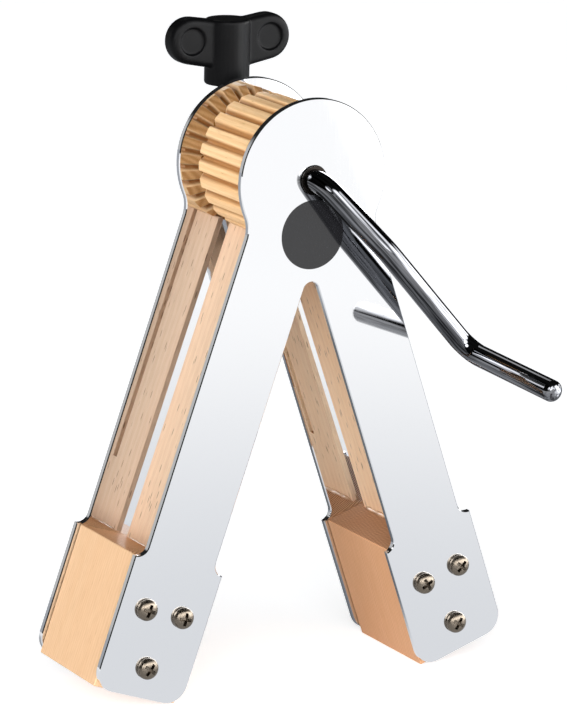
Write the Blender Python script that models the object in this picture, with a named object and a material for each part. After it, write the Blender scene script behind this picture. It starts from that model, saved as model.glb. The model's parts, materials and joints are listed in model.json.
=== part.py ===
# Orchestral ratchet: two steel side plates in an A shape hold a toothed wooden wheel, which a
# bent crank turns against two springy wooden tongues. A rod clamp sits behind the rear plate.
# Lengths are metres and angles are degrees. +Z is up and the crank is in front, at -Y.

import math

import bmesh
import bpy
from mathutils import Matrix, Vector

# Side plates. Leg distances run down a leg's centre line, from the axle.
HEAD_RADIUS = 0.035
PLATE_THICKNESS = 0.003
PLATE_SPACING = 0.053
PLATE_EDGE_BREAK = 0.0004
LEG_ANGLE = 19.1
LEG_OFFSET = 0.0052
LEG_WIDTH = 0.0344
LEG_LENGTH = 0.2332
FOOT_WIDTH = 0.0443
FOOT_HEIGHT = 0.0592
FOOT_CORNER_RADIUS = 0.009
NECK_RADIUS = 0.013
CROTCH_RADIUS = 0.0038

# Foot blocks
BLOCK_WIDTH = 0.041
BLOCK_INSET = 0.0002
BLOCK_EDGE_BREAK = 0.0004

# Plate screws, three in each foot on each plate
SCREW_HEAD_DIAMETER = 0.0095
SCREW_HEAD_HEIGHT = 0.0034
SCREW_HEAD_RIM = 0.0011
SCREW_DOME_POWER = 0.6
SCREW_DIAMETER = 0.0046
SCREW_LENGTH = 0.022
SCREW_POINT = 0.004
SCREW_PAIR_SPACING = 0.0184
SCREW_PAIR_DROP = 0.0213
SCREW_LOW_RISE = 0.0133
SCREW_RECESS_SPAN = 0.0052
SCREW_RECESS_WIDTH = 0.0013
SCREW_RECESS_DEPTH = 0.0018

# Toothed wheel
TOOTH_COUNT = 24
WHEEL_RADIUS = 0.030
WHEEL_END_GAP = 0.0009
WHEEL_TAPER_LENGTH = 0.0076
WHEEL_TAPER_DEPTH = 0.006
GROOVE_WIDTH = 0.0036
GROOVE_WALL_DEPTH = 0.0015
GROOVE_WALL_SPACING = 0.0019
GROOVE_DEPTH = 0.0021
GROOVE_BOTTOM = 0.0009
PIN_DIAMETER = 0.004
PIN_FAR_REACH = 0.015
PIN_SINK = 0.0015

# Tongues
TONGUE_THICKNESS = 0.0026
TONGUE_ENGAGEMENT = 0.001
TONGUE_SIDE_GAP = 0.005
TONGUE_ROOT_OFFSET = -0.002
TONGUE_ROOT_HEIGHT = 0.0293
TONGUE_SLIT = 0.0032
TONGUE_TANG = 0.018

# Crank, one bent round bar
ROD_DIAMETER = 0.0095
CRANK_ANGLE = -48.5
CRANK_ARM_STANDOFF = 0.0185
CRANK_NECK_STANDOFF = 0.0085
CRANK_RAMP_REACH = 0.040
CRANK_THROW = 0.1031
GRIP_LENGTH = 0.064
GRIP_SPLAY = 5.5
GRIP_END_RADIUS = 0.003
NECK_BEND_RADIUS = 0.0085
RAMP_BEND_RADIUS = 0.030
GRIP_BEND_RADIUS = 0.010
AXLE_END_BREAK = 0.0008
AXLE_END_SINK = 0.0005

# Axle bushes
BUSH_DIAMETER = 0.0124
BUSH_PROUD = 0.001
BUSH_FLANGE_DIAMETER = 0.020
BUSH_FLANGE_THICKNESS = 0.0012

# Rod clamp behind the rear plate
CLAMP_AXIS_OFFSET = 0.020
CLAMP_WIDTH = 0.020
CLAMP_WALL = 0.006
CLAMP_TOP = 0.008
CLAMP_EDGE_BREAK = 0.0015
CLAMP_FLANGE_WIDTH = 0.046
CLAMP_FLANGE_THICKNESS = 0.005
CLAMP_FLANGE_CORNER = 0.004
CLAMP_FLANGE_MARGIN = 0.0012
CLAMP_BOSS_DIAMETER = 0.016
CLAMP_BOSS_TOP = 0.020
ROD_BORE_DIAMETER = 0.0105
ROD_BORE_DROP = 0.0045
CLAMP_SCREW_DIAMETER = 0.005
CLAMP_SCREW_HEAD = 0.0092
CLAMP_SCREW_INSET = 0.006

# Wing screw of the clamp
STUD_DIAMETER = 0.008
STUD_TIP_BREAK = 0.0012
STUD_SOCKET = 0.020
HUB_DIAMETER = 0.020
HUB_BOTTOM = 0.0285
HUB_HEIGHT = 0.029
HUB_EDGE_RADIUS = 0.0012
WING_SPAN = 0.0588
WING_THICKNESS = 0.009
WING_TIP_RADIUS = 0.0103
WING_TIP_RISE = 0.0203
WING_ROOT_RISE = 0.0080
WING_WAIST_RISE = 0.0278
WING_EDGE_RADIUS = 0.0022
WING_DISH_RADIUS = 0.006
WING_DISH_DEPTH = 0.0012

# Clearances
SEAT_GAP = 0.0003
RUNNING_GAP = 0.0003
AXLE_CLEARANCE = 0.00015

# Facets
ARC_STEPS = 8
ROUND_STEPS = 32
SCREW_STEPS = 14

# Colours as linear red, green and blue, with roughness and metallic
FINISHES = {
    "polished_steel": ((0.80, 0.81, 0.82), 0.06, 1.0),
    "beech": ((0.76, 0.50, 0.28), 0.55, 0.0),
    "beech_tongue": ((0.72, 0.48, 0.32), 0.55, 0.0),
    "chrome": ((0.75, 0.75, 0.76), 0.05, 1.0),
    "nickel": ((0.55, 0.51, 0.45), 0.20, 1.0),
    "bronze": ((0.50, 0.36, 0.20), 0.35, 1.0),
    "zinc_casting": ((0.45, 0.45, 0.46), 0.35, 1.0),
    "black_plastic": ((0.015, 0.015, 0.016), 0.45, 0.0),
}

LEFT = -1
RIGHT = 1
SIDES = {"left": LEFT, "right": RIGHT}

# Places that several pieces share
inner_face = PLATE_SPACING / 2
outer_face = inner_face + PLATE_THICKNESS
axle_radius = ROD_DIAMETER / 2
shoulder = LEG_LENGTH - FOOT_HEIGHT
shoulder_radius = (FOOT_WIDTH - LEG_WIDTH) / 2
tongue_edge = inner_face - TONGUE_SIDE_GAP
clamp_front = outer_face + SEAT_GAP
clamp_axis_y = outer_face + CLAMP_AXIS_OFFSET
rod_bore_radius = ROD_BORE_DIAMETER / 2
clamp_back = clamp_axis_y + rod_bore_radius + CLAMP_WALL
crank_arm_y = -outer_face - CRANK_ARM_STANDOFF
tooth_pitch = 2 * math.pi / TOOTH_COUNT


def clear_scene():
    for item in list(bpy.data.objects):
        bpy.data.objects.remove(item, do_unlink=True)


def finish(name):
    existing = bpy.data.materials.get(name)
    if existing:
        return existing
    colour, roughness, metallic = FINISHES[name]
    material = bpy.data.materials.new(name)
    material.use_nodes = True
    shader = material.node_tree.nodes["Principled BSDF"]
    shader.inputs["Base Color"].default_value = (*colour, 1.0)
    shader.inputs["Roughness"].default_value = roughness
    shader.inputs["Metallic"].default_value = metallic
    return material


def mesh_from(bm, name, smooth_angle=None):
    bmesh.ops.recalc_face_normals(bm, faces=bm.faces)
    mesh = bpy.data.meshes.new(name)
    bm.to_mesh(mesh)
    bm.free()
    if smooth_angle:
        mesh.shade_smooth()
        mesh.set_sharp_from_angle(angle=math.radians(smooth_angle))
    return mesh


def place(name, mesh, parent, material=None, location=(0, 0, 0), rotation=(0, 0, 0)):
    item = bpy.data.objects.new(name, mesh)
    bpy.context.collection.objects.link(item)
    item.parent = parent
    item.location = location
    item.rotation_euler = rotation
    if material and not mesh.materials:
        mesh.materials.append(finish(material))
    return item


def empty(name, parent=None, location=(0, 0, 0)):
    item = bpy.data.objects.new(name, None)
    bpy.context.collection.objects.link(item)
    item.parent = parent
    item.location = location
    return item


def cutter(name, mesh, parent, location=(0, 0, 0), rotation=(0, 0, 0)):
    item = place(name, mesh, parent, None, location, rotation)
    item.hide_render = True
    item.display_type = "WIRE"
    return item


def combine(target, tool, operation="DIFFERENCE"):
    modifier = target.modifiers.new(tool.name, "BOOLEAN")
    modifier.operation = operation
    modifier.object = tool
    modifier.solver = "MANIFOLD"


def applied_mesh(item):
    bpy.context.view_layer.update()
    graph = bpy.context.evaluated_depsgraph_get()
    return bpy.data.meshes.new_from_object(item.evaluated_get(graph)).copy()


# Outlines are lists of 2-D points: x to the right and y for the height

def arc_between(center, first, last, steps):
    # Points from first to last round the centre, the shorter way
    radius = (first - center).length
    start = math.atan2(first.y - center.y, first.x - center.x)
    end = math.atan2(last.y - center.y, last.x - center.x)
    sweep = (end - start + math.pi) % (2 * math.pi) - math.pi
    angles = [start + sweep * i / steps for i in range(steps + 1)]
    return [center + radius * Vector((math.cos(a), math.sin(a))) for a in angles]


def circle(center, radius, steps):
    angles = [2 * math.pi * i / steps for i in range(steps)]
    return [center + radius * Vector((math.cos(a), math.sin(a))) for a in angles]


def inset_loop(points, distance):
    # A counter-clockwise outline moved inwards by the same distance all round
    moved = []
    for i, point in enumerate(points):
        before = (point - points[i - 1]).normalized()
        after = (points[(i + 1) % len(points)] - point).normalized()
        normal = Vector((-before.y, before.x))
        mitre = (normal + Vector((-after.y, after.x))).normalized()
        moved.append(point + mitre * distance / mitre.dot(normal))
    return moved


def leg_point(side, along, across):
    # A place on a leg: along from the axle, across outwards from the leg's centre line
    lean = math.radians(LEG_ANGLE)
    out = across + LEG_OFFSET
    x = side * (along * math.sin(lean) + out * math.cos(lean))
    return Vector((x, out * math.sin(lean) - along * math.cos(lean)))


def prism(bm, outline, holes, front, back, edge_break):
    # A plate between two depths, with broken outer edges and plain holes
    small = inset_loop(outline, edge_break)
    levels = [
        (small, front),
        (outline, front + edge_break),
        (outline, back - edge_break),
        (small, back),
    ]
    rings = [[bm.verts.new((p.x, depth, p.y)) for p in loop] for loop, depth in levels]
    for first, last in zip(rings, rings[1:]):
        wall(bm, first, last)
    bores = []
    for hole in holes:
        pair = [[bm.verts.new((p.x, depth, p.y)) for p in hole] for depth in (front, back)]
        wall(bm, *pair)
        bores.append(pair)
    cap(bm, [rings[0]] + [pair[0] for pair in bores])
    cap(bm, [rings[-1]] + [pair[1] for pair in bores])


def wall(bm, first, last):
    count = len(first)
    for i in range(count):
        j = (i + 1) % count
        bm.faces.new((first[i], first[j], last[j], last[i]))


def cap(bm, loops):
    edges = []
    for loop in loops:
        for i, vert in enumerate(loop):
            edges.append(bm.edges.get((loop[i - 1], vert)))
    bmesh.ops.triangle_fill(bm, use_beauty=True, edges=edges)


def turned(profile, steps, axis="Z"):
    # A solid turned from (radius, height) points, bottom to top, ending on or off the axis
    bm = bmesh.new()
    rings = []
    for radius, height in profile:
        if radius == 0:
            rings.append([bm.verts.new((0, 0, height))])
            continue
        loop = circle(Vector((0, 0)), radius, steps)
        rings.append([bm.verts.new((p.x, p.y, height)) for p in loop])
    hollow = all(len(loop) > 1 for loop in rings)
    pairs = list(zip(rings, rings[1:]))
    if hollow:
        pairs.append((rings[-1], rings[0]))
    for first, last in pairs:
        if len(first) == 1 or len(last) == 1:
            point, loop = (first[0], last) if len(first) == 1 else (last[0], first)
            for i, vert in enumerate(loop):
                bm.faces.new((loop[i - 1], vert, point))
        else:
            wall(bm, first, last)
    if axis == "Y":
        # The profile's height runs towards -Y, out of the front
        bmesh.ops.rotate(bm, verts=bm.verts, matrix=Matrix.Rotation(math.pi / 2, 3, "X"))
    return bm


def rod(radius, start, end, steps=ROUND_STEPS):
    # A plain round bar between two points
    start, end = Vector(start), Vector(end)
    span = end - start
    bm = turned([(0, 0), (radius, 0), (radius, span.length), (0, span.length)], steps)
    turn = span.to_track_quat("Z", "Y").to_matrix().to_4x4()
    bmesh.ops.transform(bm, verts=bm.verts, matrix=Matrix.Translation(start) @ turn)
    return bm


def box(low, high):
    bm = bmesh.new()
    bmesh.ops.create_cube(bm, size=1)
    low, high = Vector(low), Vector(high)
    size = high - low
    bmesh.ops.scale(bm, verts=bm.verts, vec=size)
    bmesh.ops.translate(bm, verts=bm.verts, vec=(low + high) / 2)
    return bm


def joined(parts):
    # Several separate shapes in one mesh, for one cutter
    whole = bmesh.new()
    for part in parts:
        mesh = bpy.data.meshes.new("piece")
        part.to_mesh(mesh)
        part.free()
        whole.from_mesh(mesh)
        bpy.data.meshes.remove(mesh)
    return whole


def soften(item, width, segments, angle=40):
    bevel = item.modifiers.new("edges", "BEVEL")
    bevel.width = width
    bevel.segments = segments
    bevel.limit_method = "ANGLE"
    bevel.angle_limit = math.radians(angle)


# Where things are, from the sizes above

def screw_places(side):
    pair = shoulder + SCREW_PAIR_DROP
    low = LEG_LENGTH - SCREW_LOW_RISE
    return {
        "outer": leg_point(side, pair, SCREW_PAIR_SPACING / 2),
        "inner": leg_point(side, pair, -SCREW_PAIR_SPACING / 2),
        "lower": leg_point(side, low, 0),
    }


def clamp_screw_places():
    reach = CLAMP_FLANGE_WIDTH / 2 - CLAMP_SCREW_INSET
    return [Vector((side * reach, -ROD_BORE_DROP)) for side in SIDES.values()]


def groove_angle(index):
    # A tooth points straight down, so the grooves start half a pitch to each side of it
    return -math.pi / 2 + (index + 0.5) * tooth_pitch


def tongue_line(side):
    # Root at the block's top, and tip in the wheel's second groove from the bottom
    root = leg_point(side, shoulder, TONGUE_ROOT_OFFSET)
    reach = WHEEL_RADIUS * math.cos(math.asin(GROOVE_WIDTH / 2 / WHEEL_RADIUS)) - TONGUE_ENGAGEMENT
    angle = groove_angle(1 if side == RIGHT else -2)
    tip = reach * Vector((math.cos(angle), math.sin(angle)))
    return root, tip


def floor_height():
    # The lower of the blocks' inner bottom edges and the plates' inner corners, from the axle
    across = FOOT_CORNER_RADIUS - FOOT_WIDTH / 2
    corner = leg_point(RIGHT, LEG_LENGTH - FOOT_CORNER_RADIUS, across).y - FOOT_CORNER_RADIUS
    edge = leg_point(RIGHT, LEG_LENGTH - BLOCK_INSET, BLOCK_EDGE_BREAK - BLOCK_WIDTH / 2).y
    return min(corner, edge)


def depth_middle():
    # Half way between the front of the grip and the back of the clamp
    splay = math.radians(GRIP_SPLAY)
    bar = axle_radius - GRIP_END_RADIUS
    tip = GRIP_LENGTH * math.cos(splay) + bar * math.sin(splay)
    round_end = GRIP_END_RADIUS * (1 - math.cos(splay))
    front = crank_arm_y - tip - round_end
    hub_back = clamp_axis_y + HUB_DIAMETER / 2
    return (front + max(clamp_back, hub_back)) / 2


# Side plates

def plate_outline():
    half_leg = LEG_WIDTH / 2
    half_foot = FOOT_WIDTH / 2
    corner = FOOT_CORNER_RADIUS
    fillet_start = shoulder - shoulder_radius
    neck_across = half_leg + NECK_RADIUS
    reach = HEAD_RADIUS + NECK_RADIUS
    neck_along = math.sqrt(reach ** 2 - (neck_across + LEG_OFFSET) ** 2)
    neck_center = leg_point(RIGHT, neck_along, neck_across)
    head_end = neck_center.normalized() * HEAD_RADIUS
    lean = math.radians(LEG_ANGLE)
    crotch_drop = (CROTCH_RADIUS + half_leg - LEG_OFFSET) / math.sin(lean)
    crotch = Vector((0, -crotch_drop))
    crotch_start = crotch + CROTCH_RADIUS * Vector((math.cos(lean), math.sin(lean)))

    def at(along, across):
        return leg_point(RIGHT, along, across)

    half = []
    half += arc_between(Vector((0, 0)), Vector((0, HEAD_RADIUS)), head_end, 4 * ARC_STEPS)
    half += arc_between(neck_center, head_end, at(neck_along, half_leg), ARC_STEPS)[1:]
    half += arc_between(at(fillet_start, half_foot), at(fillet_start, half_leg),
                        at(shoulder, half_foot), ARC_STEPS)
    half += arc_between(at(LEG_LENGTH - corner, half_foot - corner),
                        at(LEG_LENGTH - corner, half_foot),
                        at(LEG_LENGTH, half_foot - corner), ARC_STEPS)
    half += arc_between(at(LEG_LENGTH - corner, corner - half_foot),
                        at(LEG_LENGTH, corner - half_foot),
                        at(LEG_LENGTH - corner, -half_foot), ARC_STEPS)
    half += arc_between(at(fillet_start, -half_foot), at(shoulder, -half_foot),
                        at(fillet_start, -half_leg), ARC_STEPS)
    half += arc_between(crotch, crotch_start, crotch + Vector((0, CROTCH_RADIUS)), ARC_STEPS)
    mirrored = [Vector((-p.x, p.y)) for p in half[1:-1]]
    return half[::-1] + mirrored


def plate_holes(extra=()):
    holes = [circle(Vector((0, 0)), BUSH_DIAMETER / 2 + SEAT_GAP, ROUND_STEPS)]
    bore = SCREW_DIAMETER / 2 + SEAT_GAP
    for side in SIDES.values():
        holes += [circle(p, bore, SCREW_STEPS) for p in screw_places(side).values()]
    holes += [circle(p, CLAMP_SCREW_DIAMETER / 2 + SEAT_GAP, SCREW_STEPS) for p in extra]
    return holes


def make_plates(root):
    outline = plate_outline()
    bm = bmesh.new()
    prism(bm, outline, plate_holes(), -outer_face, -inner_face, PLATE_EDGE_BREAK)
    place("front_plate", mesh_from(bm, "front_plate", 30), root, "polished_steel")
    bm = bmesh.new()
    prism(bm, outline, plate_holes(clamp_screw_places()), inner_face, outer_face, PLATE_EDGE_BREAK)
    rear = place("rear_plate", mesh_from(bm, "rear_plate", 30), root, "polished_steel")
    sinks = [countersink(p) for p in clamp_screw_places()]
    combine(rear, cutter("countersinks", mesh_from(joined(sinks), "countersinks"), root))


def countersink(point):
    # The seat of a flat screw head, opening towards the wheel
    top = CLAMP_SCREW_HEAD / 2 + SEAT_GAP
    bottom = CLAMP_SCREW_DIAMETER / 2 + SEAT_GAP
    over = SEAT_GAP
    profile = [(0, over), (top + over, over), (bottom, bottom - top), (0, bottom - top)]
    bm = turned(profile[::-1], SCREW_STEPS, "Y")
    bmesh.ops.translate(bm, verts=bm.verts, vec=(point.x, inner_face, point.y))
    return bm


# Feet: a beech block between the plates at the bottom of each leg

def make_block(name, side, root):
    top = shoulder
    bottom = LEG_LENGTH - BLOCK_INSET
    center = leg_point(side, (top + bottom) / 2, 0)
    half = Vector((BLOCK_WIDTH / 2, inner_face - SEAT_GAP, (bottom - top) / 2))
    turn = (0, -side * math.radians(LEG_ANGLE), 0)
    bm = box(-half, half)
    block = place(name, mesh_from(bm, name), root, "beech", (center.x, 0, center.y), turn)
    soften(block, BLOCK_EDGE_BREAK, 1)
    bores = []
    for point in screw_places(side).values():
        for face in (-1, 1):
            start = face * (inner_face + SEAT_GAP)
            end = face * (outer_face - SCREW_LENGTH - SEAT_GAP)
            radius = SCREW_DIAMETER / 2 + SEAT_GAP
            bores.append(rod(radius, (point.x, start, point.y), (point.x, end, point.y), SCREW_STEPS))
    combine(block, cutter(name + "_bores", mesh_from(joined(bores), name + "_bores"), root))
    root_point, turn = tongue_seat(side)
    reach = TONGUE_TANG + SEAT_GAP
    slot = box((-TONGUE_THICKNESS / 2 - SEAT_GAP, -tongue_edge - SEAT_GAP, -reach),
               (TONGUE_THICKNESS / 2 + SEAT_GAP, tongue_edge + SEAT_GAP, BLOCK_WIDTH / 2))
    combine(block, cutter(name + "_slot", mesh_from(slot, name + "_slot"), root, root_point, turn))


# Tongues: thin beech strips, let into the blocks, slit up the middle and sprung into the grooves

def tongue_seat(side):
    # The tongue's root point and its turn, with its own +Z from root to tip
    root_point, tip = tongue_line(side)
    rise = tip - root_point
    return (root_point.x, 0, root_point.y), (0, math.atan2(rise.x, rise.y), 0)


def make_tongue(name, side, root):
    root_point, tip = tongue_line(side)
    length = (tip - root_point).length
    half = TONGUE_THICKNESS / 2
    # Sections from the tang's end to the rounded tip: height and half thickness
    sections = [(-TONGUE_TANG, half)]
    tip_steps = 4
    for i in range(tip_steps):
        angle = math.pi / 2 * i / tip_steps
        sections.append((length - half + half * math.sin(angle), half * math.cos(angle)))
    bm = bmesh.new()
    rings = []
    for height, thick in sections:
        corners = ((-thick, -tongue_edge), (thick, -tongue_edge), (thick, tongue_edge), (-thick, tongue_edge))
        rings.append([bm.verts.new((x, y, height)) for x, y in corners])
    for first, last in zip(rings, rings[1:]):
        wall(bm, first, last)
    bm.faces.new(rings[0])
    bm.faces.new(rings[-1])
    tongue = place(name, mesh_from(bm, name, 30), root, "beech_tongue", *tongue_seat(side))
    slit = box((-TONGUE_THICKNESS, -TONGUE_SLIT / 2, TONGUE_ROOT_HEIGHT),
               (TONGUE_THICKNESS, TONGUE_SLIT / 2, 2 * length))
    combine(tongue, cutter(name + "_slit", mesh_from(slit, name + "_slit"), root, *tongue_seat(side)))


# Wheel: a long toothed drum, pinned to the crank's axle

def wheel_outline():
    half_angle = math.asin(GROOVE_WIDTH / 2 / WHEEL_RADIUS)
    rim = WHEEL_RADIUS * math.cos(half_angle)
    # Half of one groove, from the rim to the middle of its floor: half width and depth
    side_of_groove = [
        (GROOVE_WIDTH / 2, 0),
        (GROOVE_WALL_SPACING / 2, GROOVE_WALL_DEPTH),
        (GROOVE_BOTTOM / 2, GROOVE_DEPTH),
    ]
    groove = [(-w, d) for w, d in side_of_groove] + side_of_groove[::-1]
    points = []
    for tooth in range(TOOTH_COUNT):
        angle = groove_angle(tooth)
        out = Vector((math.cos(angle), math.sin(angle)))
        along = Vector((-out.y, out.x))
        points += [out * (rim - depth) + along * width for width, depth in groove]
    return points


def make_wheel(root):
    # Straight teeth in the middle, tapering in towards both plates
    end = inner_face - WHEEL_END_GAP
    straight = end - WHEEL_TAPER_LENGTH
    narrow = 1 - WHEEL_TAPER_DEPTH / WHEEL_RADIUS
    bm = bmesh.new()
    rings = []
    for depth, scale in ((-end, narrow), (-straight, 1), (straight, 1), (end, narrow)):
        rings.append([bm.verts.new((scale * point.x, depth, scale * point.y)) for point in wheel_outline()])
    for first, last in zip(rings, rings[1:]):
        wall(bm, first, last)
    bm.faces.new(rings[0])
    bm.faces.new(rings[-1])
    wheel = place("ratchet_wheel", mesh_from(bm, "ratchet_wheel", 25), root, "beech")
    bm = rod(axle_radius + SEAT_GAP, (0, -inner_face, 0), (0, inner_face, 0))
    combine(wheel, cutter("wheel_bore", mesh_from(bm, "wheel_bore"), root))
    floor = inner_face - SEAT_GAP - BUSH_FLANGE_THICKNESS - RUNNING_GAP
    radius = BUSH_FLANGE_DIAMETER / 2 + SEAT_GAP
    seats = [rod(radius, (0, face * floor, 0), (0, face * inner_face, 0)) for face in (-1, 1)]
    combine(wheel, cutter("wheel_counterbores", mesh_from(joined(seats), "wheel_counterbores"), root))
    outer = WHEEL_RADIUS
    bm = rod(PIN_DIAMETER / 2 + SEAT_GAP, (-PIN_FAR_REACH - SEAT_GAP, 0, 0), (outer, 0, 0), SCREW_STEPS)
    hole = cutter("pin_hole", mesh_from(bm, "pin_hole"), root)
    combine(wheel, hole)
    near = WHEEL_RADIUS - GROOVE_DEPTH - PIN_SINK
    bm = rod(PIN_DIAMETER / 2, (-PIN_FAR_REACH, 0, 0), (near, 0, 0), SCREW_STEPS)
    place("wheel_pin", mesh_from(bm, "wheel_pin", 30), root, "nickel")
    return hole


# Crank: the axle, a ramp, an arm and a grip, bent from one bar

def crank_path():
    # Points of the centre line as (out from the axle, depth), with round bends
    splay = math.radians(GRIP_SPLAY)
    rear_end = outer_face + BUSH_PROUD - AXLE_END_SINK
    corners = [
        Vector((0, rear_end)),
        Vector((0, -outer_face - CRANK_NECK_STANDOFF)),
        Vector((CRANK_RAMP_REACH, crank_arm_y)),
        Vector((CRANK_THROW, crank_arm_y)),
    ]
    corners.append(corners[-1] + GRIP_LENGTH * Vector((math.sin(splay), -math.cos(splay))))
    radii = (NECK_BEND_RADIUS, RAMP_BEND_RADIUS, GRIP_BEND_RADIUS)
    points = [corners[0]]
    for i, radius in enumerate(radii, start=1):
        before = (corners[i - 1] - corners[i]).normalized()
        after = (corners[i + 1] - corners[i]).normalized()
        half = before.angle(after) / 2
        leg = radius / math.tan(half)
        center = corners[i] + (before + after).normalized() * radius / math.sin(half)
        first = corners[i] + before * leg
        last = corners[i] + after * leg
        points += arc_between(center, first, last, ARC_STEPS)
    points.append(corners[-1])
    return points


def make_crank(root, pin_hole):
    points = crank_path()
    ends = (points[1] - points[0]).normalized(), (points[-1] - points[-2]).normalized()
    # Rings along the bar: centre, direction and radius, with a broken and a rounded end
    rings = [(points[0], ends[0], axle_radius - AXLE_END_BREAK)]
    rings.append((points[0] + ends[0] * AXLE_END_BREAK, ends[0], axle_radius))
    for i in range(1, len(points) - 1):
        direction = (points[i + 1] - points[i]).normalized() + (points[i] - points[i - 1]).normalized()
        rings.append((points[i], direction.normalized(), axle_radius))
    round_steps = 5
    for i in range(round_steps + 1):
        angle = math.pi / 2 * i / round_steps
        back = GRIP_END_RADIUS * (1 - math.sin(angle))
        radius = axle_radius - GRIP_END_RADIUS * (1 - math.cos(angle))
        rings.append((points[-1] - ends[1] * back, ends[1], radius))
    turn = math.radians(CRANK_ANGLE)
    out = Vector((math.cos(turn), 0, math.sin(turn)))
    depth = Vector((0, 1, 0))
    side = out.cross(depth)
    bm = bmesh.new()
    loops = []
    for center, direction, radius in rings:
        across = out * -direction.y + depth * direction.x
        middle = out * center.x + depth * center.y
        loop = circle(Vector((0, 0)), radius, ROUND_STEPS // 4 * 3)
        loops.append([bm.verts.new(middle + across * p.x + side * p.y) for p in loop])
    for first, last in zip(loops, loops[1:]):
        wall(bm, first, last)
    bm.faces.new(loops[0])
    bm.faces.new(loops[-1])
    crank = place("crank", mesh_from(bm, "crank", 30), root, "chrome")
    combine(crank, pin_hole)


# Bushes: flanged sleeves that carry the axle in the plates

def make_bushes(root):
    inner = axle_radius + AXLE_CLEARANCE
    outer = BUSH_DIAMETER / 2
    flange = BUSH_FLANGE_DIAMETER / 2
    seat = -inner_face + SEAT_GAP
    profile = [
        (inner, seat + BUSH_FLANGE_THICKNESS),
        (flange, seat + BUSH_FLANGE_THICKNESS),
        (flange, seat),
        (outer, seat),
        (outer, -outer_face - BUSH_PROUD),
        (inner, -outer_face - BUSH_PROUD),
    ]
    bm = turned([(radius, -depth) for radius, depth in profile], ROUND_STEPS // 4 * 3, "Y")
    mesh = mesh_from(bm, "bush", 30)
    place("front_bush", mesh, root, "bronze")
    place("rear_bush", mesh, root, "bronze", rotation=(0, 0, math.pi))


# Screws: pan heads with a cross recess, pointed for wood

def screw_mesh():
    head = SCREW_HEAD_DIAMETER / 2
    shank = SCREW_DIAMETER / 2
    profile = [(0, -SCREW_LENGTH), (shank, SCREW_POINT - SCREW_LENGTH), (shank, 0), (head, 0),
               (head, SCREW_HEAD_RIM)]
    dome_steps = 3
    for i in range(1, dome_steps):
        angle = math.pi / 2 * i / dome_steps
        rise = SCREW_HEAD_RIM + (SCREW_HEAD_HEIGHT - SCREW_HEAD_RIM) * math.sin(angle)
        profile.append((head * math.cos(angle) ** SCREW_DOME_POWER, rise))
    profile.append((0, SCREW_HEAD_HEIGHT))
    bm = turned(profile, SCREW_STEPS, "Y")
    plain = place("plain_screw", mesh_from(bm, "plain_screw", 40), None, "nickel")
    deep = SCREW_HEAD_HEIGHT - SCREW_RECESS_DEPTH
    half_span = SCREW_RECESS_SPAN / 2
    half_width = SCREW_RECESS_WIDTH / 2
    over = SCREW_HEAD_HEIGHT + SEAT_GAP
    bars = [(half_span, half_width), (half_width, half_span)]
    tools = []
    for x, z in bars:
        bar = place("bar", mesh_from(box((-x, -over, -z), (x, -deep, z)), "bar"), None)
        combine(plain, bar)
        tools.append(bar)
    mesh = applied_mesh(plain)
    mesh.name = "screw"
    for item in [plain] + tools:
        bpy.data.objects.remove(item, do_unlink=True)
    return mesh


def make_screws(root):
    mesh = screw_mesh()
    for face_name, face in (("front", -1), ("rear", 1)):
        depth = face * (outer_face + SEAT_GAP)
        turn = (0, 0, 0 if face < 0 else math.pi)
        for side_name, side in SIDES.items():
            for spot, point in screw_places(side).items():
                name = f"{face_name}_{side_name}_screw_{spot}"
                place(name, mesh, root, "nickel", (point.x, depth, point.y), turn)


# Rod clamp: a casting with a flange, a cross bore for the stand's rod and a threaded boss

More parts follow.
